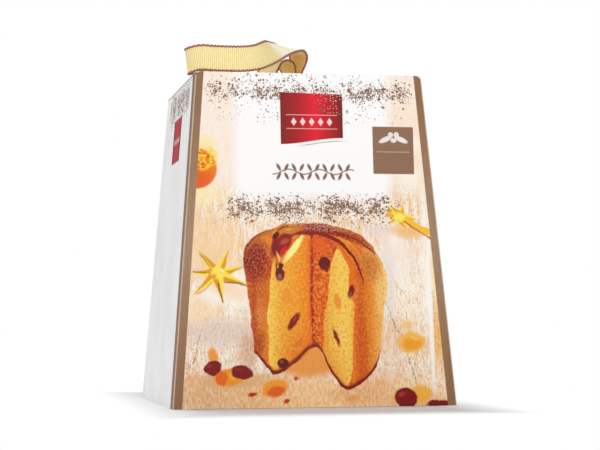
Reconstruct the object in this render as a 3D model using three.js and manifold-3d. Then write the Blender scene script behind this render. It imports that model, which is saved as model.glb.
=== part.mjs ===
// Gift carton for a 1 kg panettone: a tapered folding carton with a ribbon handle, and the
// bagged cake inside it. Millimetres, +Z up, front panel facing -Y, origin on the ground
// under the middle of the carton.
import * as THREE from 'three';
import { mergeVertices } from 'three/addons/utils/BufferGeometryUtils.js';
import Module from 'manifold-3d';

const wasm = await Module();
wasm.setup();

// ---- driving dimensions -------------------------------------------------------------
const HEIGHT = 248; // ground to the lid's top face
const BASE_HALF = 106; // half the outside width at the ground
const TOP_HALF = 86; // half the outside width at the lid
const BOARD = 0.6; // carton board thickness
const GAP = 0.3; // clearance between neighbouring pieces
const FRONT_CORNER = 5; // rounding of the front panel's free top corners

const LID_HALF = 85.9; // half the lid's width, and its reach to the back
const LID_FRONT = 85.1; // the lid's reach to the front
const SLOT = { x: 4.8, width: 7.6, length: 21.5 }; // where the ribbon goes through the lid

const TUCK = { depth: 25, half: 84, corner: 12, lean: 7 }; // lean in degrees
const DUST_FLAP = { outer: 85.6, inner: 28, front: 79, heel: 80, taper: 0.6, corner: 10 };
const FLOOR_FLAP = { half: 104.8, innerCrease: 104, innerReach: 20, sideInner: 30, sideTaper: 14 };
const GLUE_FLAP = { width: 18, low: 4, high: 242, taper: 9 };

const RIBBON = { width: 19, thick: 0.7, substeps: 3 };
const CLIP = { width: 6.8, length: 26, low: 236.6, high: 243.4, wall: 0.8 };

const MOULD = { radius: 85.4, wall: 0.8, low: 3.9, high: 113.5, floor: 0.8 };
const CAKE_GAP = 0.4;
const ROUND_STEPS = 48; // facets round the cake, its mould and its bag
const NECK = { radius: 7.5, hole: 3, low: 184, high: 190 };
const TIE = { wire: 1.6, height: 4 };

// ---- finishes -----------------------------------------------------------------------
const finish = (color, roughness, extra = {}) =>
  new THREE.MeshStandardMaterial({ color, roughness, metalness: 0, ...extra });
const printedBoard = () => finish(0xf3e6d6, 0.45);
const plainBoard = () => finish(0xe9e6df, 0.75);
const grosgrain = () => finish(0xe8d9a3, 0.8);
const crust = () => finish(0xb0622f, 0.85);
const mouldPaper = () => finish(0x8a5a35, 0.8);
const clipMetal = () => finish(0xc9ccd0, 0.35, { metalness: 0.9 });
const film = () => finish(0xf5f5f5, 0.15, { transparent: true, opacity: 0.35 });
const goldTie = () => finish(0xd2a64a, 0.35, { metalness: 0.6 });

const carton = new THREE.Group();

/** Adds one named piece to the carton, or to a turned group inside it. */
function add(name, geometry, material, parent = carton) {
  const mesh = new THREE.Mesh(geometry, material);
  mesh.name = name;
  parent.add(mesh);
  return mesh;
}

// ---- shapes cut from board ----------------------------------------------------------
/** An outline through corners [x, y, radius], each corner rounded by its radius. */
function roundedOutline(corners) {
  const shape = new THREE.Shape();
  corners.forEach(([x, y, radius = 0], i) => {
    const [px, py] = corners[(i + corners.length - 1) % corners.length];
    const [nx, ny] = corners[(i + 1) % corners.length];
    const here = new THREE.Vector2(x, y);
    const towards = (tx, ty) => new THREE.Vector2(tx - x, ty - y).setLength(radius).add(here);
    const start = radius ? towards(px, py) : here;
    if (i === 0) shape.moveTo(start.x, start.y);
    else shape.lineTo(start.x, start.y);
    if (radius) {
      const end = towards(nx, ny);
      shape.quadraticCurveTo(x, y, end.x, end.y);
    }
  });
  shape.closePath();
  return shape;
}

/** Board of the given outline, from z = 0 up to the board's thickness. */
const board = (corners) =>
  new THREE.ExtrudeGeometry(roundedOutline(corners), {
    depth: BOARD, bevelEnabled: false, curveSegments: 5,
  });

const tilt = Math.atan2(BASE_HALF - TOP_HALF, HEIGHT);
const alongSlope = (z) => z / Math.cos(tilt);
const halfAt = (z) => BASE_HALF - ((BASE_HALF - TOP_HALF) * z) / HEIGHT;

/** A wall panel leaning in with the carton's taper, turned to its side of the carton. */
function addWall(name, turn, topZ, inset, corner = 0) {
  const side = new THREE.Group();
  side.rotation.z = turn;
  carton.add(side);
  const low = halfAt(0) - inset;
  const high = halfAt(topZ) - inset;
  const top = alongSlope(topZ);
  const wall = add(
    name, board([[-low, 0], [low, 0], [high, top, corner], [-high, top, corner]]),
    printedBoard(), side,
  );
  wall.rotation.x = Math.PI / 2 - tilt;
  wall.position.y = -(BASE_HALF - BOARD * Math.cos(tilt));
}

function addWalls() {
  const lidUnderside = HEIGHT - BOARD;
  const sideInset = BOARD / Math.cos(tilt) + GAP + 0.05;
  const flapBelow = lidUnderside - GAP - BOARD;
  addWall('front_panel', 0, HEIGHT, 0, FRONT_CORNER);
  addWall('back_panel', Math.PI, lidUnderside - GAP, 0);
  addWall('right_panel', Math.PI / 2, flapBelow - GAP, sideInset);
  addWall('left_panel', -Math.PI / 2, flapBelow - GAP, sideInset);
}

/** The strip glued inside the right panel, at the back corner. */
function addGlueFlap() {
  const { width, low, high, taper } = GLUE_FLAP;
  const side = new THREE.Group();
  side.rotation.z = Math.PI / 2;
  carton.add(side);
  const reach = (v) => halfAt(v) - BOARD - 2 * GAP;
  const flap = add('glue_flap', board([
    [reach(low) - width, low + taper], [reach(low), low],
    [reach(high), high], [reach(high) - width, high - taper],
  ]), plainBoard(), side);
  flap.rotation.x = Math.PI / 2 - tilt;
  flap.position.y = -(BASE_HALF - BOARD * 2 - GAP - 0.05);
}

/** The four bottom flaps, glued on each other: one outer, one inner and two side ones. */
function addFloor() {
  const { half, innerCrease, innerReach, sideInner, sideTaper } = FLOOR_FLAP;
  const layer = BOARD + GAP;
  add('bottom_flap_outer', board([
    [-half, -half], [half, -half], [half - 2, half, 6], [2 - half, half, 6],
  ]), plainBoard());
  const inner = add('bottom_flap_inner', board([
    [8 - half, -innerReach, 6], [half - 8, -innerReach, 6], [half, innerCrease], [-half, innerCrease],
  ]), plainBoard());
  inner.position.z = layer;
  const edge = half - 0.3;
  const turns = { bottom_side_flap_right: 0, bottom_side_flap_left: Math.PI };
  for (const [name, turn] of Object.entries(turns)) {
    const flap = add(name, board([
      [edge, -edge], [edge, edge], [sideInner, edge - sideTaper, 8], [sideInner, sideTaper - edge, 8],
    ]), plainBoard());
    flap.rotation.z = turn;
    flap.position.z = 2 * layer;
  }
}

// ---- lid ------------------------------------------------------------------------------
/** A closed three.js geometry as a solid that can be cut. */
function toSolid(geometry) {
  const bare = geometry.clone();
  bare.deleteAttribute('uv');
  bare.deleteAttribute('normal');
  const merged = mergeVertices(bare, 1e-4);
  return new wasm.Manifold(new wasm.Mesh({
    numProp: 3,
    vertProperties: new Float32Array(merged.attributes.position.array),
    triVerts: new Uint32Array(merged.index.array),
  }));
}

/** A cut solid as a three.js geometry again. */
function toGeometry(solid) {
  const mesh = solid.getMesh();
  const geometry = new THREE.BufferGeometry();
  geometry.setAttribute('position', new THREE.BufferAttribute(mesh.vertProperties, 3));
  geometry.setIndex(new THREE.BufferAttribute(mesh.triVerts, 1));
  return geometry;
}

function addLid() {
  const blank = board([
    [-LID_HALF, -LID_FRONT], [LID_HALF, -LID_FRONT], [LID_HALF, LID_HALF], [-LID_HALF, LID_HALF],
  ]);
  const slot = new THREE.BoxGeometry(SLOT.width, SLOT.length, 10 * BOARD);
  slot.translate(SLOT.x, 0, 0);
  const lid = add('lid_panel', toGeometry(toSolid(blank).subtract(toSolid(slot))), printedBoard());
  lid.position.z = HEIGHT - BOARD;

  const { depth, half, corner, lean } = TUCK;
  const tuck = add('tuck_flap', board([
    [-half, 0], [-half, -depth, corner], [half, -depth, corner], [half, 0],
  ]), plainBoard());
  tuck.rotation.x = Math.PI / 2 + THREE.MathUtils.degToRad(lean);
  tuck.position.set(0, -(LID_FRONT - BOARD - 0.1), HEIGHT - BOARD - GAP - 0.1);
}

/** The two flaps under the lid, cut back so that they rise at half the lid's angle. */
function addDustFlaps() {
  const { outer, inner, front, heel, taper, corner } = DUST_FLAP;
  const tip = heel - taper * (outer - inner);
  const outline = [[outer, -front, 3], [outer, heel], [inner, tip, corner], [inner, -front, corner]];
  const z = HEIGHT - 2 * BOARD - GAP;
  const right = add('dust_flap_right', board(outline), plainBoard());
  right.position.z = z;
  const mirrored = outline.map(([x, y, r]) => [-x, y, r]).reverse();
  const left = add('dust_flap_left', board(mirrored), plainBoard());
  left.position.z = z;
}

// ---- ribbon ---------------------------------------------------------------------------
// The ribbon's near edge, from its first end under the lid, up through the slot, over, along
// the lid's front, round at the left, back behind itself and down the slot to its second end.
// Each row is a point on that edge and the direction that the ribbon's width takes there.
const RIBBON_ROUTE = [
  [[6.4, -9.5, 238.0], [0, 1, 0]],
  [[6.4, -9.5, 248.5], [0, 1, 0]],
  [[8.2, -10.0, 257.0], [-0.35, 0.93, 0]],
  [[11.8, -11.5, 265.5], [-0.62, 0.78, 0]],
  [[12.8, -15.0, 271.6], [-0.8, 0.6, -0.05]],
  [[8.4, -23.0, 275.0], [-0.9, 0.42, 0.06]],
  [[0.4, -35.0, 272.2], [-0.86, 0.35, 0.32]],
  [[-9.0, -49.0, 267.0], [-0.74, 0.3, 0.58]],
  [[-18.0, -61.5, 260.9], [-0.48, 0.2, 0.84]],
  [[-27.5, -72.6, 255.2], [-0.22, 0.12, 0.97]],
  [[-37.0, -80.3, 251.0], [-0.06, 0.04, 1]],
  [[-48.0, -84.2, 248.9], [0, 0, 1]],
  [[-60.0, -84.8, 248.5], [0, 0, 1]],
  [[-72.0, -84.4, 248.7], [0, 0, 1]],
  [[-81.5, -83.0, 249.2], [-0.02, 0, 1]],
  [[-88.0, -78.0, 248.0], [-0.1, 0.02, 1]],
  [[-89.2, -69.5, 247.6], [-0.12, 0.03, 1]],
  [[-84.6, -62.4, 248.8], [-0.02, 0.05, 1]],
  [[-74.0, -58.6, 248.7], [0, 0.05, 1]],
  [[-61.0, -55.2, 248.6], [-0.08, 0.25, 0.96]],
  [[-47.5, -50.8, 248.6], [-0.22, 0.58, 0.78]],
  [[-35.5, -44.6, 248.7], [-0.42, 0.78, 0.45]],
  [[-25.0, -36.6, 249.2], [-0.6, 0.76, 0.18]],
  [[-16.8, -28.2, 252.4], [-0.7, 0.71, 0.03]],
  [[-11.8, -21.4, 260.2], [-0.74, 0.67, 0]],
  [[-7.4, -17.2, 266.7], [-0.7, 0.72, 0.03]],
  [[-1.9, -13.2, 268.8], [-0.63, 0.78, 0]],
  [[3.2, -10.8, 266.0], [-0.58, 0.81, -0.05]],
  [[4.2, -10.0, 259.0], [-0.38, 0.92, 0]],
  [[3.2, -9.5, 248.5], [0, 1, 0]],
  [[3.2, -9.5, 238.0], [0, 1, 0]],
];

/** One value of a curve through rows a, b, c, d, a fraction t of the way from b to c. */
function throughPoints(a, b, c, d, t) {
  const value = (i) => 0.5 * (2 * b[i] + (c[i] - a[i]) * t
    + (2 * a[i] - 5 * b[i] + 4 * c[i] - d[i]) * t * t
    + (3 * b[i] - a[i] - 3 * c[i] + d[i]) * t * t * t);
  return new THREE.Vector3(value(0), value(1), value(2));
}

/** Cross-sections along the ribbon: near edge, width direction and face normal. */
function ribbonSections(route, substeps) {
  const last = route.length - 1;
  const row = (i) => route[Math.min(Math.max(i, 0), last)];
  const count = last * substeps;
  const at = (kind, k) => {
    const i = Math.min(Math.floor(k / substeps), last - 1);
    return throughPoints(row(i - 1)[kind], row(i)[kind], row(i + 1)[kind], row(i + 2)[kind],
      k / substeps - i);
  };
  return Array.from({ length: count + 1 }, (_, k) => {
    const edge = at(0, k);
    const run = at(0, Math.min(k + 1, count)).sub(at(0, Math.max(k - 1, 0))).normalize();
    const across = at(1, k);
    across.addScaledVector(run, -across.dot(run)).normalize();
    return { edge, across, normal: new THREE.Vector3().crossVectors(run, across) };
  });
}

/** A flat strip of the given width and thickness through the sections. */
function stripGeometry(sections, width, thick) {
  const corners = sections.flatMap(({ edge, across, normal }) =>
    [[0, -0.5], [1, -0.5], [1, 0.5], [0, 0.5]].map(([u, w]) =>
      edge.clone().addScaledVector(across, u * width).addScaledVector(normal, w * thick)));
  const faces = [];
  const quad = (a, b, c, d) => faces.push(a, b, c, a, c, d);
  for (let i = 0; i < sections.length - 1; i += 1) {
    for (let k = 0; k < 4; k += 1) {
      const next = (k + 1) % 4;
      quad(4 * i + k, 4 * i + next, 4 * i + 4 + next, 4 * i + 4 + k);
    }
  }
  const end = corners.length - 4;
  quad(3, 2, 1, 0);
  quad(end, end + 1, end + 2, end + 3);
  const geometry = new THREE.BufferGeometry().setFromPoints(corners);
  geometry.setIndex(faces);
  return geometry;
}

/** The ribbon, and the folded metal clip that its two ends are pressed in. */
function addRibbon() {
  const sections = ribbonSections(RIBBON_ROUTE, RIBBON.substeps);
  add('ribbon_handle', stripGeometry(sections, RIBBON.width, RIBBON.thick), grosgrain());
  const { width, length, low, high, wall } = CLIP;
  const half = width / 2;
  const channel = roundedOutline([
    [-half, low], [half, low], [half, high], [half - wall, high],
    [half - wall, low + wall], [wall - half, low + wall], [wall - half, high], [-half, high],
  ]);
  const clip = add('ribbon_clip', new THREE.ExtrudeGeometry(channel, {
    depth: length, bevelEnabled: false,
  }), clipMetal());
  clip.rotation.x = Math.PI / 2;
  clip.position.set(SLOT.x, length / 2, 0);
}

// ---- cake and its wrapping ------------------------------------------------------------
/** A turned solid from a profile of [radius, height] points. */
const turned = (profile) =>
  new THREE.LatheGeometry(profile.map(([r, z]) => new THREE.Vector2(r, z)), ROUND_STEPS);

/** Stands a turned solid up, because a lathe turns round the Y axis. */
function addTurned(name, profile, material) {
  const mesh = add(name, turned(profile), material);
  mesh.rotation.x = Math.PI / 2;
  return mesh;
}

function addCake() {
  const { radius, wall, low, high, floor } = MOULD;
  const inside = radius - wall;
  addTurned('paper_mould', [
    [inside - 6, low], [radius, low], [radius, high], [inside, high],
    [inside, low + 0.5], [inside - 6, low + 0.5], [inside - 6, low],
  ], mouldPaper());
  addTurned('mould_base', [
    [0, low + 0.5 + GAP], [inside - GAP - 0.5, low + 0.5 + GAP],
    [inside - GAP - 0.5, low + 0.5 + GAP + floor], [0, low + 0.5 + GAP + floor],
  ], mouldPaper());
  const base = low + 0.5 + 2 * GAP + floor;
  const side = inside - CAKE_GAP;
  addTurned('panettone', [
    [0, base], [side - 4, base], [side, base + 4], [side, high + 1], [side + 2.6, high + 4],
    [side + 4.2, high + 9], [side + 4.4, high + 14], [side + 3, high + 21], [side - 2, high + 31],
    [side - 11, high + 41], [side - 25, high + 49.5], [side - 43, high + 55.5],
    [side - 63, high + 58.3], [0, high + 59],
  ], crust());
}

/** The clear bag: its inside is open to the air through the gathered neck. */
function addBag() {
  const { radius, hole, low, high } = NECK;
  const outer = [
    [0, 3.0], [86.5, 3.0], [88.2, 5], [89, 60], [89.6, 112], [91.2, 122], [91, 132],
    [88, 145], [79, 158], [64, 168], [45, 176], [26, 180.5], [radius + 5, 182.5],
    [radius, low], [radius, high], [radius + 4, high + 6], [22, high + 17], [38, high + 31],
  ];
  const inner = [
    [37.3, high + 31.6], [21.4, high + 18], [radius + 2, high + 8], [hole, high + 1],
    [hole, low], [12, 181.6], [26, 179.7], [44.8, 175.3], [63.5, 167.3], [78.3, 157.4],
    [87.2, 144.6], [90.2, 132], [90.4, 122.2], [88.8, 112.2], [88.2, 60], [87.4, 5.4],
    [86.1, 3.5], [0, 3.5],
  ];
  addTurned('film_bag', [...outer, ...inner], film());
  const ring = radius + GAP;
  const middle = (low + high) / 2;
  const top = middle + TIE.height / 2;
  const bottom = middle - TIE.height / 2;
  addTurned('bag_tie', [
    [ring, bottom], [ring + TIE.wire, bottom], [ring + TIE.wire, top], [ring, top], [ring, bottom],
  ], goldTie());
}

addWalls();
addGlueFlap();
addFloor();
addLid();
addDustFlaps();
addRibbon();
addCake();
addBag();

export default carton;
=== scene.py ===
"""Visual model of a tapered gift carton for a tall cake, with its looped ribbon handle.

Everything is in metres, +Z up, with the front panel facing -Y and the ground at z = 0.
The carton is one folded shell of printed board, the lid is a second one that turns on the
back panel's crease, and the bagged cake stands inside.
"""
from __future__ import annotations

import logging
import math
from contextlib import contextmanager
from dataclasses import dataclass, field
from enum import Enum
from typing import Callable, Iterator, Sequence, Union

import bmesh
import bpy
from mathutils import Matrix, Vector, noise


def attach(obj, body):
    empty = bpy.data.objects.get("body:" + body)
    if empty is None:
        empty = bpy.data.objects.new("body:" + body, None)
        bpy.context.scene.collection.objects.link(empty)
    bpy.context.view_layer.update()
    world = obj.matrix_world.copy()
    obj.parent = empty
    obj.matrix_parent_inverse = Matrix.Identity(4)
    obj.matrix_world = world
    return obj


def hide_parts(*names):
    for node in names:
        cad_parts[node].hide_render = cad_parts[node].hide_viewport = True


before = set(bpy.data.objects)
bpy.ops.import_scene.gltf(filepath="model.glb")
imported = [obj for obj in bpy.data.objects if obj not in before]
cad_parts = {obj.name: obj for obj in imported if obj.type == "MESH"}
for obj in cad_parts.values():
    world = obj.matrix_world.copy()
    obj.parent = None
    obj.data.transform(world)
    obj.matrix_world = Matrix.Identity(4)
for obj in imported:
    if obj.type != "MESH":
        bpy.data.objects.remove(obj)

LOG = logging.getLogger("carton")
MM = 0.001

Colour = tuple[float, float, float, float]
Point = tuple[float, float]
Tint = tuple[int, int, int]
Piece = bpy.types.Object
Material = bpy.types.Material


def ink(red: int, green: int, blue: int) -> Colour:
    """Turn a printer's 8-bit colour into a linear one with full alpha.

    Args:
        red: Red, 0 to 255.
        green: Green.
        blue: Blue.

    Returns:
        The linear colour.
    """
    def linear(value: int) -> float:
        """Undo the display curve of one channel."""
        c = value / 255
        return c / 12.92 if c <= 0.04045 else ((c + 0.055) / 1.055) ** 2.4

    return linear(red), linear(green), linear(blue), 1.0


# ---- shader wiring ----
Value = Union["Wire", float]
Tone = Union["Wire", Colour, Tint]


class Wire:
    """An output socket of a node. Arithmetic on it adds Math nodes."""

    def __init__(self, graph: "Graph", socket: bpy.types.NodeSocket) -> None:
        """Keep the graph and the socket."""
        self.graph = graph
        self.socket = socket

    def other(self, output: str) -> "Wire":
        """Another output of the same node."""
        return Wire(self.graph, self.socket.node.outputs[output])

    def value(self, channel: str) -> "Wire":
        """One channel of a colour, named Red, Green or Blue."""
        return self.graph.node("SeparateColor", None, {0: self}, channel)

    def __abs__(self) -> "Wire":
        """The absolute value."""
        return self.graph.math("ABSOLUTE", self)

    def fit(self, scale: Value, shift: Value) -> "Wire":
        """self * scale + shift, in one node."""
        return self.graph.math("MULTIPLY_ADD", self, scale, shift)

    def above(self, edge: Value, soft: float) -> "Wire":
        """1 where self is above edge and 0 where it is below, over a width of soft.

        Args:
            edge: Where it turns.
            soft: The width of the turn.

        Returns:
            The mask.
        """
        if isinstance(edge, Wire):
            return (self - edge).above(0.0, soft)
        return self.graph.math("MULTIPLY_ADD", self, 1 / soft, 0.5 - edge / soft, clamp=True)

    def below(self, edge: Value, soft: float) -> "Wire":
        """1 where self is below edge and 0 where it is above, over a width of soft.

        Args:
            edge: Where it turns.
            soft: The width of the turn.

        Returns:
            The mask.
        """
        if isinstance(edge, Wire):
            return (self - edge).below(0.0, soft)
        return self.graph.math("MULTIPLY_ADD", self, -1 / soft, 0.5 + edge / soft, clamp=True)

    def within(self, low: float, high: float, soft: float) -> "Wire":
        """1 between low and high, over edges of width soft."""
        middle, half = (low + high) / 2, (high - low) / 2
        return abs(self - middle).below(half, soft)


def add_operator(symbol: str, operation: str) -> None:
    """Let Wire take one arithmetic operator, from either side.

    Args:
        symbol: The operator's name, such as add.
        operation: The Math operation.
    """
    def forward(self: Wire, value: Value) -> Wire:
        """The wire first."""
        return self.graph.math(operation, self, value)

    def backward(self: Wire, value: float) -> Wire:
        """The wire second."""
        return self.graph.math(operation, value, self)

    setattr(Wire, f"__{symbol}__", forward)
    setattr(Wire, f"__r{symbol}__", backward)


for _symbol, _operation in (("add", "ADD"), ("sub", "SUBTRACT"), ("mul", "MULTIPLY"),
                            ("truediv", "DIVIDE")):
    add_operator(_symbol, _operation)


class Graph:
    """A material's node tree, filled by expressions."""

    def __init__(self, name: str) -> None:
        """Start an empty material.

        Args:
            name: The material's name.
        """
        self.material = bpy.data.materials.new(name)
        self.material.use_nodes = True
        self.tree = self.material.node_tree
        self.tree.nodes.clear()

    def node(self, kind: str, settings: dict | None = None, inputs: dict | None = None,
             out: int | str = 0) -> Wire:
        """Add one node.

        Args:
            kind: The node type without its ShaderNode prefix.
            settings: The node's properties, among them a ramp's stops or a curve's points.
            inputs: Values or wires by socket name or number.
            out: The output socket to return.

        Returns:
            The wire of that output.
        """
        made = self.tree.nodes.new("ShaderNode" + kind)
        for key, value in (settings or {}).items():
            if key == "stops":
                self._set_stops(made.color_ramp, value)
            elif key == "points":
                self._set_points(made.mapping, value)
            else:
                setattr(made, key, value)
        for key, value in (inputs or {}).items():
            if isinstance(value, Wire):
                self.tree.links.new(value.socket, made.inputs[key])
            else:
                made.inputs[key].default_value = value
        return Wire(self, made.outputs[out])

    @staticmethod
    def _set_stops(ramp: bpy.types.ColorRamp, stops: Sequence[tuple[float, Colour]]) -> None:
        """Give a colour ramp its stops, in rising order.

        Args:
            ramp: The ramp.
            stops: Places and colours.
        """
        while len(ramp.elements) < len(stops):
            ramp.elements.new(1.0)
        for element, (place, colour) in zip(ramp.elements, stops):
            element.position = place
            element.color = colour

    @staticmethod
    def _set_points(mapping: bpy.types.CurveMapping, points: Sequence[Point]) -> None:
        """Draw a curve through points, level beyond its two ends.

        Args:
            mapping: The curve node's mapping.
            points: The points, from left to right.
        """
        mapping.use_clip = False
        mapping.extend = "HORIZONTAL"
        curve = mapping.curves[0]
        while len(curve.points) < len(points):
            curve.points.new(2.0 + len(curve.points), 0.0)
        for handle, (x, y) in zip(curve.points, points):
            handle.location = (x, y)
            handle.handle_type = "AUTO_CLAMPED"
        mapping.update()

    def math(self, operation: str, a: Value, b: Value = 0.0, c: Value = 0.0,
             clamp: bool = False) -> Wire:
        """A Math node on up to three values, with a Clamp node after it where that is asked."""
        result = self.node("Math", {"operation": operation}, {0: a, 1: b, 2: c})
        return self.node("Clamp", None, {0: result, 1: 0.0, 2: 1.0}) if clamp else result

    def join(self, x: Value, y: Value, z: Value = 0.0) -> Wire:
        """A vector made of three values."""
        return self.node("CombineXYZ", None, {0: x, 1: y, 2: z})

    def split(self, vector: Wire) -> tuple[Wire, Wire, Wire]:
        """The three values of a vector."""
        x = self.node("SeparateXYZ", None, {0: vector}, "X")
        return x, x.other("Y"), x.other("Z")

    def mix(self, base: Wire | Colour, colour: Wire | Colour, mask: Value,
            blend: str = "MIX") -> Wire:
        """Lay colour over base where mask is 1."""
        return self.node("Mix", {"data_type": "RGBA", "blend_type": blend},
                         {0: mask, 6: base, 7: colour}, 2)

    def ramp(self, value: Wire, stops: Sequence[tuple[float, Colour]]) -> Wire:
        """A colour that changes with value, which runs from 0 to 1."""
        return self.node("ValToRGB", {"stops": stops}, {0: value}, "Color")

    def curve(self, value: Wire, points: Sequence[Point]) -> Wire:
        """A curve drawn through points, read at value."""
        return self.node("FloatCurve", {"points": points}, {1: value})

    def moved(self, vector: Wire, scale: tuple[float, float, float],
              shift: tuple[float, float, float] = (0.0, 0.0, 0.0)) -> Wire:
        """A vector with each axis scaled and then shifted."""
        return self.node("Mapping", {"vector_type": "POINT"},
                         {"Vector": vector, "Scale": scale, "Location": shift})

    def noise(self, vector: Wire, scale: float, detail: float = 2.0, rough: float = 0.5,
              out: str = "Fac", flat: bool = True) -> Wire:
        """Cloudy noise of about 0.3 to 0.7.

        Args:
            vector: Where it is read.
            scale: How fine it is.
            detail: How many octaves it has.
            rough: How strong the finer ones are.
            out: The output socket.
            flat: Two dimensions in place of three.

        Returns:
            The noise.
        """
        return self.node("TexNoise", {"noise_dimensions": "2D" if flat else "3D"},
                         {"Vector": vector, "Scale": scale, "Detail": detail,
                          "Roughness": rough}, out)

    def cells(self, vector: Wire, scale: float, flat: bool = True,
              shape: float | None = None) -> Wire:
        """The distance to the nearest of scattered points, measured with rays by a small shape.

        Args:
            vector: Where it is read.
            scale: How close the points are.
            flat: Two dimensions in place of three.
            shape: Below 1, the points get rays.

        Returns:
            The distance.
        """
        settings = {"voronoi_dimensions": "2D" if flat else "3D"}
        inputs = {"Vector": vector, "Scale": scale}
        if shape is not None:
            settings["distance"] = "MINKOWSKI"
            inputs["Exponent"] = shape
        return self.node("TexVoronoi", settings, inputs, "Distance")

    def bump(self, height: Wire, strength: float, distance: float) -> Wire:
        """A normal that follows a height."""
        return self.node("Bump", None,
                         {"Height": height, "Strength": strength, "Distance": distance})

    def surface(self, colour: Wire | Colour, roughness: Value, **sockets: object) -> Wire:
        """A Principled shader.

        Args:
            colour: The base colour.
            roughness: The roughness.
            sockets: Other sockets by name, with spaces written as underscores.

        Returns:
            The shader's wire.
        """
        inputs = {"Base Color": colour, "Roughness": roughness}
        inputs.update({key.replace("_", " "): value for key, value in sockets.items()})
        return self.node("BsdfPrincipled", None, inputs, "BSDF")

    def finish(self, shader: Wire) -> Material:
        """Send a shader to the output and hand the material over.

        Args:
            shader: The shader's wire.

        Returns:
            The material.
        """
        out = self.tree.nodes.new("ShaderNodeOutputMaterial")
        self.tree.links.new(shader.socket, out.inputs["Surface"])
        return self.material

    def place(self) -> Wire:
        """The point on the object, in metres."""
        return self.node("TexCoord", None, None, "Object")


# ---- modelling steps ----
def clear_selection() -> None:
    """Leave edit mode and deselect every object."""
    if bpy.context.object and bpy.context.object.mode != "OBJECT":
        bpy.ops.object.mode_set(mode="OBJECT")
    bpy.ops.object.select_all(action="DESELECT")


def activate(obj: Piece) -> None:
    """Make one object the only selected and active one.

    Args:
        obj: The object.
    """
    clear_selection()
    obj.select_set(True)
    bpy.context.view_layer.objects.active = obj


def named(name: str) -> Piece:
    """Name the newly added primitive, settle its place in its mesh and return it.

    Args:
        name: The new name.

    Returns:
        The object.
    """
    obj = bpy.context.object
    obj.name = name
    obj.data.name = name
    bpy.ops.object.transform_apply(location=True, rotation=True, scale=True)
    return obj


def cube(name: str, low: Sequence[float], high: Sequence[float]) -> Piece:
    """A box between two corners, in metres.

    Args:
        name: The object's name.
        low: The lowest corner.
        high: The highest corner.

    Returns:
        The box.
    """
    clear_selection()
    middle = [(a + b) / 2 for a, b in zip(low, high)]
    size = [b - a for a, b in zip(low, high)]
    bpy.ops.mesh.primitive_cube_add(size=1, location=middle, scale=size)
    return named(name)


@contextmanager
def editing(obj: Piece) -> Iterator[None]:
    """Edit mode on one object with nothing selected.

    Args:
        obj: The object to edit.

    Yields:
        Nothing, while the edit lasts.
    """
    activate(obj)
    bpy.ops.object.mode_set(mode="EDIT")
    bpy.ops.mesh.select_all(action="DESELECT")
    try:
        yield
    finally:
        bpy.ops.object.mode_set(mode="OBJECT")


class Part(Enum):
    """What a selection picks."""

    VERT = "verts"
    EDGE = "edges"
    FACE = "faces"


def pick(part: Part, test: Callable[[Vector, Vector], bool]) -> int:
    """Select what passes a test, in edit mode.

    Args:
        part: Vertices, edges or faces.
        test: Takes the middle and the direction: a normal, or an edge's own run.

    Returns:
        How many were picked.
    """
    bpy.ops.mesh.select_mode(type=part.name)
    bpy.ops.mesh.select_all(action="DESELECT")
    mesh = bpy.context.edit_object.data
    bm = bmesh.from_edit_mesh(mesh)
    bm.normal_update()
    count = 0
    for item in getattr(bm, part.value):
        if part is Part.FACE:
            middle, way = item.calc_center_median(), item.normal
        elif part is Part.EDGE:
            a, b = item.verts[0].co, item.verts[1].co
            middle, way = (a + b) / 2, (b - a).normalized()
        else:
            middle, way = item.co, item.normal
        if test(middle, way):
            item.select_set(True)
            count += 1
    bm.select_flush_mode()
    bmesh.update_edit_mesh(mesh)
    return count


def select_all() -> None:
    """Select the whole mesh, in edit mode."""
    bpy.ops.mesh.select_all(action="SELECT")


def bevel(offset: float, segments: int, affect: str = "EDGES") -> None:
    """Round the picked edges or vertices."""
    bpy.ops.mesh.bevel(offset=offset, segments=segments, affect=affect)


def resize(x: float, y: float, about: Sequence[float]) -> None:
    """Scale what is picked on the level, about a point."""
    bpy.ops.transform.resize(value=(x, y, 1), center_override=about)


def extrude(way: Sequence[float]) -> None:
    """Draw what is picked out along a way."""
    bpy.ops.mesh.extrude_region_move(TRANSFORM_OT_translate={"value": tuple(way)})


def placed(name: str, bm: bmesh.types.BMesh) -> Piece:
    """Turn a finished bmesh into an object of the scene.

    Args:
        name: The object's name.
        bm: The bmesh, which is freed.

    Returns:
        The object.
    """
    mesh = bpy.data.meshes.new(name)
    bm.to_mesh(mesh)
    bm.free()
    obj = bpy.data.objects.new(name, mesh)
    bpy.context.scene.collection.objects.link(obj)
    return obj


def modify(obj: Piece, kind: str, **settings: object) -> None:
    """Add a modifier and apply it.

    Args:
        obj: The object.
        kind: The type of the modifier.
    """
    activate(obj)
    modifier = obj.modifiers.new(kind.title(), kind)
    for key, value in settings.items():
        setattr(modifier, key, value)
    bpy.ops.object.modifier_apply(modifier=modifier.name)


def cut(obj: Piece, tool: Piece, operation: str = "DIFFERENCE") -> None:
    """Cut obj with tool, which is then removed."""
    modify(obj, "BOOLEAN", object=tool, operation=operation, solver="EXACT")
    bpy.data.objects.remove(tool, do_unlink=True)


def smooth(obj: Piece, degrees: float = 35) -> None:
    """Shade smooth except across edges sharper than that."""
    activate(obj)
    bpy.ops.object.shade_smooth_by_angle(angle=math.radians(degrees))


def dress(obj: Piece, *materials: Material) -> None:
    """Give an object its materials, in slot order.

    Args:
        obj: The object.
        *materials: One material for each slot.
    """
    obj.data.materials.clear()
    for material in materials:
        obj.data.materials.append(material)


def paint_faces(obj: Piece, choose: Callable[[Vector, Vector], int]) -> None:
    """Set each face's material slot from its middle and normal."""
    for polygon in obj.data.polygons:
        polygon.material_index = choose(Vector(polygon.center), Vector(polygon.normal))


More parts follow.
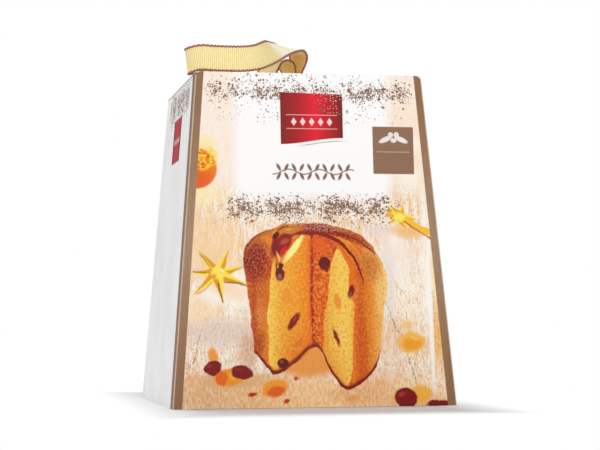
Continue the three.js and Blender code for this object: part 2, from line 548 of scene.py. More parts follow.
def reshape(obj: Piece, move: Callable[[Vector], Vector]) -> None:
    """Move each vertex, as with a sculpting brush.

    Args:
        obj: The object.
        move: Takes a place and returns the new one.
    """
    for vertex in obj.data.vertices:
        vertex.co = move(vertex.co.copy())
    obj.data.update()


def turned(name: str, profile: Sequence[Point], steps: int, closed: bool = False) -> Piece:
    """Turn a profile of (radius, height) points round the Z axis.

    Args:
        name: The piece's name.
        profile: The points, in metres. It rises on the outside, so faces point outwards.
        steps: How many steps go round.
        closed: Whether the last point joins the first.

    Returns:
        The turned piece, welded along its seam and at its poles.
    """
    clear_selection()
    bpy.ops.mesh.primitive_plane_add(size=0.01)
    obj = named(name)
    with editing(obj):
        select_all()
        bpy.ops.mesh.merge(type="CENTER")
        bm = bmesh.from_edit_mesh(obj.data)
        bm.verts.ensure_lookup_table()
        bm.verts[0].co = (profile[0][0], 0, profile[0][1])
        bm.verts[0].select_set(True)
        bmesh.update_edit_mesh(obj.data)
        bpy.ops.mesh.select_mode(type="VERT")
        select_all()
        path = list(profile) + ([profile[0]] if closed else [])
        for (r0, z0), (r1, z1) in zip(path, path[1:]):
            extrude((r1 - r0, 0, z1 - z0))
        select_all()
        bpy.ops.mesh.spin(steps=steps, angle=math.tau, center=(0, 0, 0), axis=(0, 0, 1))
        select_all()
        bpy.ops.mesh.remove_doubles(threshold=1e-6)
        bpy.ops.mesh.normals_make_consistent(inside=False)
    return obj


def tube(name: str, path: Sequence[Vector], radius: float, sides: int) -> Piece:
    """A round thread along a path, in metres, with closed ends.

    Args:
        name: The object's name.
        path: The points on its axis.
        radius: The radius.
        sides: How many sides it has.

    Returns:
        The thread.
    """
    bm = bmesh.new()
    rings = []
    side = Vector((0, 0, 1))
    for i, here in enumerate(path):
        run = (path[min(i + 1, len(path) - 1)] - path[max(i - 1, 0)]).normalized()
        side = side - run * side.dot(run)
        side = side.normalized() if side.length > 1e-4 else run.orthogonal().normalized()
        up = run.cross(side)
        rings.append([bm.verts.new(here + radius * (math.cos(a) * side + math.sin(a) * up))
                      for a in (math.tau * k / sides for k in range(sides))])
    for a, b in zip(rings, rings[1:]):
        for k in range(sides):
            n = (k + 1) % sides
            bm.faces.new((a[k], a[n], b[n], b[k]))
    bm.faces.new(list(reversed(rings[0])))
    bm.faces.new(rings[-1])
    obj = placed(name, bm)
    smooth(obj, 60)
    return obj


# ---- the carton's sizes ----
@dataclass(frozen=True)
class CartonSize:
    """The folded carton's own sizes."""

    height: float = 0.248
    base_half: float = 0.106
    top_half: float = 0.086
    board: float = 0.0006
    fold: float = 0.0009
    corner: float = 0.005
    corner_low: float = 0.236
    side_top: float = 0.2464
    back_top: float = 0.2471
    back_inside: float = 0.0848

    def half_at(self, z: float) -> float:
        """Half the outside width at a height."""
        return self.base_half - (self.base_half - self.top_half) * z / self.height

    @property
    def slope(self) -> float:
        """Length along a wall for one unit of height."""
        return math.hypot(self.height, self.base_half - self.top_half) / self.height


SIZE = CartonSize()


class Side(Enum):
    """The carton's four walls, by the way each one faces."""

    FRONT = (0, -1)
    BACK = (0, 1)
    LEFT = (-1, 0)
    RIGHT = (1, 0)

    @property
    def facing(self) -> Vector:
        """The outward direction on the level."""
        return Vector((self.value[0], self.value[1], 0))


# ---- printed finishes ----
@dataclass(frozen=True)
class Inks:
    """The colours of the print, as they are meant to look under the lamps."""

    light: float = 1.02
    haze: float = 0.025
    white: Tint = (254, 252, 251)
    taupe: Tint = (149, 112, 84)
    # A lighter brown for the stripes' middle height: a painted highlight of the varnish.
    painted_sheen: Tint = (172, 141, 114)

    def __call__(self, red: int, green: int, blue: int) -> Colour:
        """The surface colour that looks like this one on the carton's front.

        Args:
            red: Red, 0 to 255.
            green: Green.
            blue: Blue.

        Returns:
            The linear colour.
        """
        seen = ink(red, green, blue)
        paint = [min(max((c - self.haze) / self.light, 0.001), 1.0) for c in seen[:3]]
        return paint[0], paint[1], paint[2], 1.0


INK = Inks()


@dataclass(frozen=True)
class Dab:
    """A soft-edged oval of colour: its middle, half sizes and turn on the panel, in mm."""

    u: float
    v: float
    across: float
    up: float
    turn: float
    colour: Tint
    soft: float = 1.0
    strength: float = 1.0


@dataclass(frozen=True)
class Stroke:
    """A brush line through panel points, in mm, of a width that can wander."""

    points: tuple[Point, ...]
    width: float
    colour: Tint
    soft: float = 0.7
    strength: float = 1.0
    upright: bool = True
    broken: float = 0.0


class PanelPrint:
    """The print on one wall, laid down in order, from the wood up to the stars."""

    def __init__(self, name: str, side: Side) -> None:
        """Set up the panel's own coordinates.

        Args:
            name: The material's name.
            side: The wall it is printed on.
        """
        self.graph = g = Graph(name)
        x, y, z = g.split(g.place())
        across = {Side.FRONT: x, Side.BACK: x, Side.LEFT: y, Side.RIGHT: y}[side]
        sign = {Side.FRONT: 1, Side.BACK: -1, Side.LEFT: -1, Side.RIGHT: 1}[side]
        self.flat = g.join(across * (sign / MM), z * (SIZE.slope / MM))
        self.u, self.v, _ = g.split(self.flat)
        self.colour: Wire | Colour = INK(*INK.white)
        self.steady()

    def steady(self) -> None:
        """Let the shapes painted from here on have clean edges."""
        self.pu, self.pv = self.u, self.v

    def turned_place(self, u: float, v: float, degrees: float, across: float,
                     up: float) -> tuple[Wire, Wire]:
        """The painting place seen from a point, turned and scaled.

        Args:
            u: The point's place across.
            v: The point's height.
            degrees: The turn.
            across: What counts as one unit along the turned axis.
            up: What counts as one unit square to it.

        Returns:
            The two coordinates.
        """
        c, s = math.cos(math.radians(degrees)), math.sin(math.radians(degrees))
        if degrees == 0:
            return self.pu.fit(1 / across, -u / across), self.pv.fit(1 / up, -v / up)
        first = self.pv.fit(s / across, -(u * c + v * s) / across)
        first = self.pu.fit(c / across, first)
        second = self.pv.fit(c / up, (u * s - v * c) / up)
        return first, self.pu.fit(-s / up, second)

    def wander(self, scale: float, reach: float) -> None:
        """Let the shapes painted from here on have hand-torn edges.

        Args:
            scale: How fine the tears are.
            reach: How far they go, in millimetres.
        """
        g = self.graph
        red = g.noise(self.flat, scale, 3.0, 0.6, "Color").value("Red")
        self.pu = red.fit(reach, self.u - reach / 2)
        self.pv = red.other("Green").fit(reach, self.v - reach / 2)

    def mixed(self, base: Tone, colour: Tone, mask: Value) -> Wire:
        """A blend of two colours, of which the 8-bit ones go through the inks.

        Args:
            base: The colour below.
            colour: The colour above.
            mask: How much of it shows.

        Returns:
            The blend.
        """
        pair = [INK(*tone) if isinstance(tone, tuple) and len(tone) == 3 else tone
                for tone in (base, colour)]
        return self.graph.mix(*pair, mask)

    def lay(self, colour: Tone, mask: Value) -> None:
        """Put a layer of colour over what is printed so far."""
        self.colour = self.mixed(self.colour, colour, mask)

    def shades(self, value: Wire, *stops: tuple[float, Tint]) -> Wire:
        """A print colour that changes with value, which runs from 0 to 1."""
        return self.graph.ramp(value, [(place, INK(*tone)) for place, tone in stops])

    def cloud(self, scale: Point, shift: Point = (0.0, 0.0), detail: float = 2.0,
              rough: float = 0.5) -> Wire:
        """Cloudy noise on the panel, stretched and shifted along its two axes."""
        return self.graph.noise(self.graph.moved(self.flat, (*scale, 1), (*shift, 0.0)), 1.0,
                                detail, rough)

    def oval(self, u: float, v: float, across: float, up: float, turn: float,
             soft: float) -> Wire:
        """The mask of an oval."""
        x, y = self.turned_place(u, v, turn, across, up)
        return y.fit(y, x * x).below(1.0, 2 * soft / min(across, up))

    def box(self, left: float, right: float, low: float, high: float, soft: float = 0.5) -> Wire:
        """The mask of an upright rectangle."""
        return self.u.within(left, right, soft) * self.v.within(low, high, soft)

    def lozenges(self, across: Wire, height: float) -> Wire:
        """The mask of an endless row of small lozenges."""
        step = self.graph.math("PINGPONG", across, 3.4)
        return (step * 0.8 + abs(self.v - height) * 0.55).below(1.7, 0.5)

    def dab(self, *row: object) -> None:
        """Paint one dab, given as the fields of Dab.

        Args:
            *row: The fields.
        """
        dab = Dab(*row)
        mask = self.oval(dab.u, dab.v, dab.across, dab.up, dab.turn, dab.soft)
        if dab.strength < 1:
            mask = mask * dab.strength
        self.lay(dab.colour, mask)

    def dabs(self, *rows: tuple) -> None:
        """Paint dabs in order."""
        for row in rows:
            self.dab(*row)

    def line(self, stroke: Stroke) -> Wire:
        """The mask of a brush line.

        Args:
            stroke: The brush line.

        Returns:
            The mask.
        """
        g = self.graph
        along, off = (self.pv, self.pu) if stroke.upright else (self.pu, self.pv)
        points = sorted((v, u) if stroke.upright else (u, v) for u, v in stroke.points)
        mask = abs(off - g.curve(along, points)).below(stroke.width / 2, stroke.soft)
        mask = mask * along.within(points[0][0], points[-1][0], 2.0)
        if stroke.broken:
            gaps = g.noise(self.flat, 0.45, 2.0).above(0.42 + stroke.broken * 0.1, 0.06)
            mask = mask * gaps
        return mask * stroke.strength if stroke.strength < 1 else mask

    def stroke(self, *row: object) -> None:
        """Paint one brush line, given as the fields of Stroke."""
        stroke = Stroke(*row)
        self.lay(stroke.colour, self.line(stroke))

    def strokes(self, *rows: tuple) -> None:
        """Paint brush lines in order."""
        for row in rows:
            self.stroke(*row)


class WoodAndLabel(PanelPrint):
    """What front and back share: painted wood, white label zone, star bands and stripes."""

    def wood(self) -> None:
        """White painted boards with upright grain, worn patches and knots."""
        g = self.graph
        cloud = g.noise(self.flat, 0.022, 3)
        self.colour = self.mixed((248, 213, 172), (254, 238, 214), cloud.above(0.5, 0.2))
        for tone, scale, shift, detail, rough, edge, soft, strength in (
            ((255, 251, 243), (0.3, 0.06), (3.1, 0), 5, 0.64, 0.52, 0.1, 0.75),
            ((228, 180, 132), (0.8, 0.11), (0, 0), 5, 0.7, 0.58, 0.08, 0.6),
            ((196, 144, 98), (0.9, 0.4), (0, 7), 3, 0.66, 0.63, 0.05, 0.6),
        ):
            self.lay(tone, self.cloud(scale, shift, detail, rough).above(edge, soft) * strength)
        split = self.cloud((0.11, 0.022), (9, 4), 5, 0.7)
        here = g.noise(self.flat, 0.03, 2).above(0.5, 0.08)
        self.lay((158, 112, 76), abs(split - 0.5).below(0.007, 0.01) * here * 0.7)

    def label(self) -> None:
        """The white zone behind the plaque, with its cream margins."""
        g = self.graph
        high = self.v.above(163, 14)
        wave = g.noise(self.flat, 0.03, 1)
        self.lay((253, 238, 226), high * 0.85)
        right = self.u.above(62, 10) * self.v.below(228, 34) * high
        self.lay(self.mixed((250, 229, 205), (254, 244, 230), wave.above(0.5, 0.1)), right * 0.8)
        zone = self.v.above(148, 26) * abs(self.u - 1).below(58, 8)
        self.lay(INK.white, zone)

    def star_band(self, seed: float, profile: Sequence[Point], half: float) -> None:
        """A scatter of small brown stars and dots.

        Args:
            seed: Shifts the scatter.
            profile: How dense it is, 0 to 1, by height on the panel.
            half: Half its width.
        """
        g = self.graph
        for scale, size, share, shape in ((1.2, 0.8, 0.85, 1.3), (0.6, 0.74, 0.85, 0.95),
                                          (0.29, 0.66, 0.6, 0.74)):
            where = g.moved(self.flat, (1, 1, 1), (seed * 40 + scale * 9, seed * 3, 0))
            near = g.cells(where, scale, shape=shape)
            bunch = g.noise(g.moved(self.flat, (1, 0.5, 1), (seed * 90, 0, 0)), 0.075, 2)
            dense = g.curve(self.v, profile) * bunch.above(0.48, 0.12).fit(0.58, 0.42)
            dense = dense * abs(self.u).below(half, 14)
            luck = near.other("Color").value("Red")
            shown = (dense * share - luck).above(0.03, 0.04)
            reach = near.other("Color").value("Green").fit(size * 0.55, size * 0.45)
            self.lay((139, 108, 88), near.below(reach, 0.4 * scale) * shown)

    def stripes(self) -> None:
        """The brown stripes along both slanted edges, lighter over their middle height as a painted sheen.
        """
        edge = self.v.fit(-19 / 248.8, 99)
        # The stripes turn lighter over their middle height as a painted sheen, a highlight baked into the
        # print colour.
        tone = self.mixed(INK.taupe, INK.painted_sheen, self.v.within(70, 175, 110))
        fibre = self.cloud((0.9, 0.05))
        tone = self.mixed(tone, (128, 99, 80), fibre.above(0.55, 0.2) * 0.25)
        self.lay(tone, abs(self.u).above(edge, 0.5))

    def board(self, gloss: float = 0.16) -> Material:
        """Varnished print on board, with its faint fibres.

        Args:
            gloss: The strength of the varnish.

        Returns:
            The material.
        """
        g = self.graph
        grain = g.noise(self.flat, 1.4, 3, 0.6)
        waves = g.noise(self.flat, 0.02, 1)
        rough = grain.fit(0.12, 0.36)
        normal = g.bump(grain + waves * 5, 0.12, 0.0004)
        return g.finish(g.surface(self.colour, rough, Normal=normal, Coat_Weight=gloss * 0.35,
                            Coat_Roughness=0.2, Specular_IOR_Level=gloss))

    def plaque(self) -> None:
        """The red plaque with a plain row of lozenges and a few stars."""
        g = self.graph
        self.steady()
        wave = g.math("SINE", self.u * 0.062)
        low = wave.fit(2.6, 197.4)
        high = wave.fit(-0.4, 233.7)
        box = abs(self.u - 0.7).below(23.7, 0.5) * self.v.above(low, 0.5) * self.v.below(high, 0.5)
        middle = self.shades(
            self.u * (1 / 47.4) + (0.5 - 0.7 / 47.4),
            (0, (133, 22, 36)), (0.3, (178, 26, 46)), (0.56, (232, 26, 60)), (0.78, (184, 24, 46)),
            (1, (122, 18, 32)))
        self.lay(middle, box)
        swash = abs(self.v - low + 2.3).below(0.28, 0.5) * self.u.within(-8, 24, 9)
        self.lay((168, 138, 118), swash)
        row = self.lozenges(self.u - 0.7, 212) * abs(self.u - 0.7).below(17, 0.3)
        rules = abs(abs(self.v - 212) - 5.2).below(0.22, 0.5) * abs(self.u - 0.7).below(19.4, 0.4)
        self.lay((250, 214, 214), g.math("MAXIMUM", row, rules * 0.8))
        near = g.cells(self.flat, 0.42, shape=0.5)
        luck = near.other("Color").value("Red")
        spray = (self.u + self.v * 0.6).above(146, 16) * self.v.above(218, 4)
        spark = near.below(0.3, 0.12) * luck.below(0.7, 0.05) * spray * box
        self.lay((255, 232, 232), spark)
        self.dab(8, 221.5, 2.2, 1.5, 30, (150, 84, 70), 0.9, 0.8)

    def sprig(self) -> None:
        """A plain brown leaf garland under the plaque."""
        g = self.graph
        middle = g.math("SINE", self.u * 0.27).fit(1.9, 174.2)
        stem = abs(self.v - middle).below(0.45, 0.5) * abs(self.u - 1.2).below(31, 0.6)
        self.lay((134, 104, 86), stem)
        fold = g.math("PINGPONG", self.u - 1.2, 5.82)
        self.pu, self.pv = fold - 2.9, abs(self.v - 174.2) - 3.3
        leaves = self.oval(0, 0, 3.1, 1.15, 62, 0.6) * abs(self.u - 1.2).below(28.9, 0.4)
        self.lay((134, 104, 86), leaves)
        self.steady()

    def rays(self, u: float, v: float, tips: Sequence[Point], half: float,
             bright: Tint, shade: Tint, soft: float) -> None:
        """A folded star: one ray for each tip, light on one side of its ridge.

        Args:
            u: The middle's place across.
            v: The middle's height.
            tips: Where the rays end.
            half: Half a ray's width at the middle.
            bright: The lit side's colour.
            shade: The other side's colour.
            soft: How soft the edges are.
        """
        for tip_u, tip_v in tips:
            reach = math.hypot(tip_u - u, tip_v - v)
            turn = math.degrees(math.atan2(tip_v - v, tip_u - u))
            along, off = self.turned_place(u, v, turn, 1, 1)
            width = along.fit(-half / reach, half)
            mask = abs(off).below(width, soft) * along.above(0, 1)
            tone = self.mixed(shade, bright, off.above(0, 0.9))
            self.lay(tone, mask)

    def badge(self) -> None:
        """The brown badge with a plain sprig of berries and one thin rule."""
        self.lay((148, 114, 91), self.box(47, 78.5, 173.2, 209.2))
        self.dabs(
            (57, 199.5, 5.4, 1.9, 24, (240, 232, 226), 0.6),
            (69, 199.5, 5.4, 1.9, -24, (240, 232, 226), 0.6), (61, 203, 2, 2, 0, (238, 229, 222), 0.6),
            (65.4, 203.2, 2, 2, 0, (238, 229, 222), 0.6), (63.2, 198.8, 2.3, 1.7, 0, (240, 232, 226), 0.6),
        )
        rule = abs(self.v - 190).below(0.3, 0.5) * self.u.within(50, 75.5, 0.5)
        self.lay((196, 172, 156), rule)


class FrontPrint(WoodAndLabel):
    """The front: a cut cake on painted wood, with ornaments and dried fruit round it."""

    OUTLINE_LEFT: tuple[Point, ...] = (
        (10, -29), (24, -32), (30, -37), (36, -42), (41, -45.5), (50, -46), (58, -47.5),
        (68, -48), (78, -49), (88, -50.5), (97, -51.5), (107, -52.8), (112, -52.4), (117.5, -51.2),
        (123, -47.4), (128.4, -40), (132.2, -29.5), (135, -23), (138, -16))
    OUTLINE_RIGHT: tuple[Point, ...] = (
        (10, 25), (16, 33), (22, 40), (28, 45), (40, 48.5), (55, 50.5), (70, 52), (80, 54),
        (90, 55.5), (98, 55), (104, 53), (110, 50), (115, 46.8), (122, 41.6), (126, 37), (129, 32),
        (132.6, 21), (135.3, 10), (138, 2))
    BOTTOM: tuple[Point, ...] = (
        (-48, 43), (-44, 38.5), (-40, 33.5), (-35, 27.5), (-31, 24.3), (-27, 25), (-20, 29.5),
        (-12, 35.5), (-5, 42), (0, 44), (4, 41), (7, 34), (11, 25.5), (15, 19.5), (20, 13.8),
        (23, 12.3), (30, 15), (37, 19.5), (44, 27), (50, 42))

    def build(self) -> Material:
        """Print the whole front in order.

        Returns:
            The material.
        """
        self.wood()
        self.cracks()
        self.ground_tones()
        self.label()
        self.bauble()
        self.gold_star()
        self.right_ornament()
        self.loose_fruit()
        self.cake()
        self.steady()
        self.star_band(0, ((200, 0), (207, 0.04), (216, 0.09), (225, 0.17), (229, 0.42),
                             (232, 0.85), (236, 0.85), (239, 0.42), (243, 0.2), (250, 0.1)), 75)
        self.star_band(1, ((128, 0), (133, 0.1), (139, 0.3), (142, 0.62), (145, 1),
                             (150, 1), (152, 0.6), (156, 0.2), (161, 0)), 62)
        self.plaque()
        self.sprig()
        self.badge()
        self.stripes()
        return self.board()

    def cracks(self) -> None:
        """Cracks and worn spots in the boards."""
        self.wander(0.2, 2.6)
        self.strokes(
            (((-98, 28), (-91, 33), (-88, 40), (-87, 47), (-84, 57)), 1, (118, 86, 62),
              0.9, 0.8, True, 0.4),
            (((47, 124), (52, 112), (58, 100), (61, 92), (67, 84)), 0.9, (196, 158, 128), 0.9, 0.75, True),
            (((53.5, 78), (56, 71), (60, 59), (66, 50), (69, 39), (73, 26), (77, 12)), 1, (132, 98, 66),
              0.9, 0.8, True, 0.3),
            (((51.5, 44), (52.5, 30), (51, 16)), 1.7, (196, 146, 92), 1.2, 0.7, True, 0.5),
            (((89.5, 86), (90.5, 74), (90, 62)), 1.8, (150, 88, 42), 1, 0.8, True, 0.6),
        )
        g = self.graph
        split = self.cloud((0.085, 0.05), (2, 1), 5, 0.72)
        self.lay((162, 110, 68), abs(split - 0.5).below(0.006, 0.01)
                 * self.v.below(42, 40) * 0.7)
        spots = g.noise(self.flat, 0.62, 3, 0.65).above(0.635, 0.05)
        low = self.v.below(16, 26)
        self.lay((170, 120, 74), spots * low * 0.8)
        left = self.u.below(-82, 18) * self.v.below(70, 40)
        self.lay((150, 112, 80), spots * left * 0.7)

    def ground_tones(self) -> None:
        """Shadows and warm light on the boards."""
        self.wander(0.05, 7)
        self.dabs(
            (-60, 10, 60, 14, 0, (227, 170, 106), 14, 0.85), (16, 8, 70, 15, 0, (253, 203, 138), 14, 0.85),
            (-80, 116, 24, 24, 0, (250, 212, 164), 14, 0.7), (-84, 72, 14, 12, 0, (252, 222, 178), 8, 0.7),
            (-72, 55, 32, 9, 0, (224, 199, 186), 10, 0.8), (-64, 88, 22, 12, 0, (255, 252, 246), 10, 0.9),
            (62, 112, 16, 22, 0, (252, 241, 230), 12, 0.7), (56, 92, 5, 26, 0, (232, 220, 218), 6, 0.75),
            (50, 131, 12, 4, 0, (232, 216, 208), 4, 0.7), (-50, 40, 7, 12, 0, (206, 140, 92), 7, 0.7),
            (34, 10, 22, 8, 0, (232, 170, 112), 8, 0.75), (86, 110, 4, 48, 0, (255, 250, 240), 5, 0.8),
            (95, 52, 7, 26, 0, (243, 176, 84), 7, 0.9), (93, 92, 5, 20, 0, (252, 226, 170), 6, 0.7),
        )
        worn = self.cloud((0.7, 0.24), (5, 3), 4, 0.68)
        low = self.v.below(60, 60)
        self.lay((255, 243, 222), worn.above(0.55, 0.1) * low * 0.32)
        self.lay((204, 138, 82), worn.below(0.43, 0.09) * low * 0.32)
        self.steady()
        self.dab(88, 62, 1.7, 52, 1, (255, 253, 245), 1.5, 0.85)

    def bauble(self) -> None:
        """The orange ball at the left, half behind the stripe."""
        g = self.graph
        self.steady()
        self.dabs(
            (-84, 157, 16, 8, 0, (254, 232, 178), 8, 0.8), (-82, 194, 10, 6, 0, (254, 232, 160), 6, 0.8),
        )
        ball = self.oval(-86.8, 176, 15.6, 15.2, 0, 1.4)
        low = self.v.above(171, 20)
        self.lay(self.mixed((234, 102, 30), (244, 138, 44), low), ball)
        rim = self.oval(-86, 169, 10, 6, 20, 5)
        self.lay((226, 84, 26), rim * ball * 0.6)
        speck = g.noise(self.flat, 0.3, 3, 0.6).above(0.5, 0.08)
        crown = self.oval(-81, 184, 10.5, 9, 20, 3)
        self.lay((252, 214, 62), crown * speck)
        dark = g.noise(self.flat, 0.42, 2).above(0.62, 0.06)
        self.lay((190, 40, 24), dark * crown * ball * 0.8)

    def gold_star(self) -> None:
        """The seven-pointed straw star at the left."""
        self.steady()
        self.dab(-66, 88, 20, 7, -20, (250, 214, 160), 7, 0.7)
        self.wander(0.25, 1.4)
        tips = ((-86, 115.5), (-51, 104), (-91, 99), (-49, 89.5), (-90, 82.5), (-63, 117),
                (-68, 76.5))
        self.rays(-72, 98, tips, 4.6, (252, 226, 84), (228, 158, 48), 0.9)
        self.strokes(
            (((-85, 113), (-79, 105.5), (-75, 99)), 1.1, (160, 78, 30), 0.8, 0.85, False),
            (((-90, 99.8), (-80, 98.6)), 0.9, (150, 72, 28), 0.8, 0.8, False),
            (((-67, 92), (-59, 91.5), (-50, 89)), 1.2, (160, 76, 26), 0.8, 0.85, False),
            (((-71.5, 92), (-70, 84), (-68.2, 77)), 1.3, (156, 74, 26), 0.8, 0.85),
            (((-88, 83), (-81, 87), (-76, 92)), 1, (206, 130, 34), 0.8, 0.8, False),
        )
        self.dabs(
            (-71.5, 99, 5.2, 4.4, 0, (253, 232, 96), 2, 0.85),
            (-74.5, 96.5, 1.6, 1.1, 20, (222, 150, 48), 0.9, 0.8),
            (-68.4, 100.6, 1.7, 1, -30, (255, 248, 190), 0.9, 0.8),
        )

    def right_ornament(self) -> None:
        """The straw star and its stem at the right."""
        self.steady()
        self.dab(71, 129.5, 11, 4.6, -8, (246, 190, 124), 4.5, 0.9)
        self.wander(0.25, 1.8)
        self.rays(66, 141, ((54, 146), (58, 135), (72, 131), (80, 139), (69, 150), (58, 150)), 4.2,
                  (253, 228, 80), (232, 168, 50), 0.9)
        self.strokes(
            (((64, 143), (74, 137), (82, 132), (93, 128)), 5, (246, 196, 66), 0.9, 1, False),
            (((68, 138.5), (76, 133), (84, 128), (93, 123)), 1.6, (196, 112, 34), 0.9, 0.9, False),
        )
        self.dabs(
            (66, 140.5, 4.4, 3.4, 0, (254, 236, 110), 2, 0.9),
            (58, 142, 2.6, 1.6, 0, (240, 168, 44), 1, 0.9),
        )

    def loose_fruit(self) -> None:
        """Raisins, peel and crumbs on the boards."""
        self.steady()
        self.dabs(
            (-66, 20, 26, 5, 0, (226, 166, 106), 5, 0.7), (78, 3, 26, 6, 0, (232, 178, 112), 5, 0.6),
        )
        self.wander(0.16, 3)
        self.dabs(
            (-76, 39, 3.6, 5.4, 10, (240, 152, 62), 1.6, 0.95),
            (-65, 22.5, 11, 6.2, 0, (240, 152, 48), 1.2), (-70, 22, 4.6, 5, 0, (232, 110, 48), 1.4),
            (-62, 24, 3.4, 3, 0, (247, 176, 70), 2, 0.8), (-76.5, 29.5, 6.6, 5.4, 20, (134, 24, 34), 0.9),
            (-79, 31, 2.2, 1.2, 20, (176, 62, 62), 1, 0.7), (-55, 26, 8, 5.4, -12, (132, 20, 34), 0.9),
            (-58, 28.5, 3.2, 1.1, -12, (170, 52, 60), 1, 0.6),
            (-31, 14.5, 10, 6.5, 14, (243, 160, 60), 1.8), (-30, 12, 7, 3.6, 14, (230, 104, 46), 1.6),
            (-47.5, 10, 3.6, 1.5, 0, (190, 52, 34), 0.9), (-15, 21.3, 2.1, 1.5, 0, (206, 72, 44), 0.9),
            (-22, 5, 2.4, 1.6, 30, (196, 62, 34), 1), (78, 9, 9, 6.5, 0, (246, 178, 74), 2.2, 0.95),
            (67, 6.2, 9, 7.2, -6, (132, 26, 32), 1), (64, 9, 3, 1.4, 10, (184, 70, 64), 1.2, 0.8),
            (92, 1, 9.4, 3.4, 0, (128, 26, 28), 1), (72, 47, 11, 7.8, 4, (246, 184, 84), 2.6, 0.95),
            (73, 46, 7.4, 4.8, 4, (241, 158, 52), 2.6, 0.9),
            (75, 50, 3.4, 1.4, -14, (250, 204, 110), 1.2, 0.8),
            (69.5, 60, 3.2, 2.2, 0, (248, 202, 120), 2.2, 0.9),
            (26, 6, 5, 2.4, 0, (236, 150, 84), 2.4, 0.6), (48, 18, 3, 2, 0, (228, 168, 110), 2, 0.6),
        )

    def cake(self) -> None:
        """The cake with its wedge cut out, from the crust to the raisins."""
        g = self.graph
        self.wander(0.055, 3.4)
        self.lay((238, 154, 66), self.oval(-6, 34, 24, 12, 0, 5) * 0.95)
        self.lay((214, 110, 44), self.oval(-14, 37, 10, 2.6, 36, 3) * 0.7)
        self.lay((232, 190, 150), self.oval(56, 40, 8, 22, 0, 8) * 0.35)
        self.wander(0.13, 2.2)
        pu, pv = self.pu, self.pv
        whole = (pu.above(g.curve(pv, self.OUTLINE_LEFT), 0.9)
                 * pu.below(g.curve(pv, self.OUTLINE_RIGHT), 1.6)
                 * pv.above(g.curve(pu, self.BOTTOM), 0.9) * pv.below(135.6, 0.9))
        ground = self.colour
        self.crust(pu)
        self.wedge(pu, pv)
        self.dome(pu, pv)
        self.inclusions()
        self.colour = g.mix(ground, self.colour, whole)

    def crust(self, pu: Wire) -> None:
        """The baked side, left and right of the wedge.

        Args:
            pu: Across the panel, in millimetres.
        """
        left, width = -53, 109

        def at(u: float) -> float:
            """A place across the cake as a part of its width."""
            return (u - left) / width

        self.colour = self.shades(
            pu * (1 / width) + -left / width,
            (0, (226, 140, 70)), (at(-49), (204, 100, 40)), (at(-45), (190, 80, 34)),
            (at(-41), (214, 120, 52)), (at(-36), (232, 132, 50)), (at(26), (241, 146, 52)),
            (at(30), (228, 116, 40)), (at(34), (212, 92, 34)), (at(38), (224, 122, 44)),
            (at(42), (234, 140, 58)), (at(46), (241, 168, 80)), (at(50), (246, 188, 96)),
            (1, (252, 226, 150)))
        self.dabs(
            (-43, 107, 12, 15, 14, (150, 46, 34), 7, 0.97), (-47, 107, 4, 7, 0, (132, 34, 38), 3, 0.8),
            (-34.6, 104, 2.6, 9, 0, (206, 74, 40), 2, 0.8),
            (-33.4, 113, 2.2, 4, 20, (224, 120, 62), 1.6, 0.8), (-38, 84, 5, 14, 0, (202, 92, 44), 6, 0.6),
            (-42, 45, 3.4, 9, -14, (158, 62, 34), 4, 0.75), (-41, 70, 3.2, 8, 0, (232, 146, 88), 4, 0.6),
            (35, 112, 8, 10, 30, (228, 138, 62), 6, 0.6), (41, 105, 2.4, 4.6, 0, (186, 92, 46), 2, 0.7),
            (44, 116, 6, 6, 30, (238, 170, 100), 4, 0.7), (43, 103, 7, 11, 24, (204, 128, 66), 5, 0.75),
            (50, 84, 3.4, 14, 0, (247, 204, 124), 4, 0.75), (36.5, 40, 2.8, 22, 0, (208, 92, 38), 3, 0.7),
            (31, 86, 3.2, 9, 0, (232, 132, 56), 3, 0.6),
        )
        mottle = self.cloud((0.8, 0.5), detail=4, rough=0.65)
        self.lay((158, 62, 30), mottle.above(0.57, 0.07) * 0.42)
        self.lay((248, 188, 104), mottle.below(0.41, 0.06) * 0.25)

    def wedge(self, pu: Wire, pv: Wire) -> None:
        """The three cut faces: left, right and the corner between them.

        Args:
            pu: Across the panel, in millimetres.
            pv: Up the panel.
        """
        g = self.graph
        left_edge = g.curve(pv, ((20, -31), (27, -31.5), (34, -35), (48, -34.5), (58, -34.4),
                                 (66, -36.2), (70, -35.8), (76, -34), (86, -33.4), (100, -32),
                                 (110, -30.5)))
        roof = g.curve(pu, ((-36, 112), (-32, 108), (-28, 103), (-25, 106), (-21, 111),
                            (-15, 119), (-7, 127.5), (2, 127.5), (9, 126), (15, 121),
                            (21, 113), (26, 104)))
        inside = pu.above(left_edge, 0.9) * pv.below(roof, 0.9) * pu.below(27, 0.6)
        tone = self.shades(
            pu * (1 / 38) + 1,
            (0, (252, 224, 118)), (0.14, (249, 208, 90)), (0.3, (246, 180, 66)), (0.62, (244, 160, 52)),
            (0.86, (240, 138, 44)), (0.93, (226, 98, 38)), (1, (198, 62, 32)))
        low = pv.below(50, 26) * pu.above(-24, 14)
        tone = self.mixed(tone, (228, 104, 34), low * 0.6)
        self.lay(tone, inside)
        corner = pu.above(-1.4, 0.8) * pv.below(roof, 1) * pu.below(14, 1)
        warm = self.mixed((226, 92, 34), (240, 130, 46), g.noise(self.flat, 0.16, 2))
        warm = self.mixed(warm, (206, 72, 38), pv.above(112, 20) * 0.55)
        self.lay(warm, corner)
        right_a = g.curve(pv, ((40, 5.6), (50, 6), (62, 6.4), (72, 8), (80, 10), (90, 11),
                               (100, 12.2), (108, 13.6), (113, 15.5), (117, 18)))
        right_b = g.curve(pv, ((10, 22), (16, 24), (26, 27), (48, 28.2), (62, 29), (74, 30),
                               (82, 26.5), (90, 26), (98, 26.6), (105, 25), (112, 22),
                               (117, 18)))
        face = pu.above(right_a, 0.8) * pu.below(right_b, 0.8) * pv.below(116.5, 0.8)
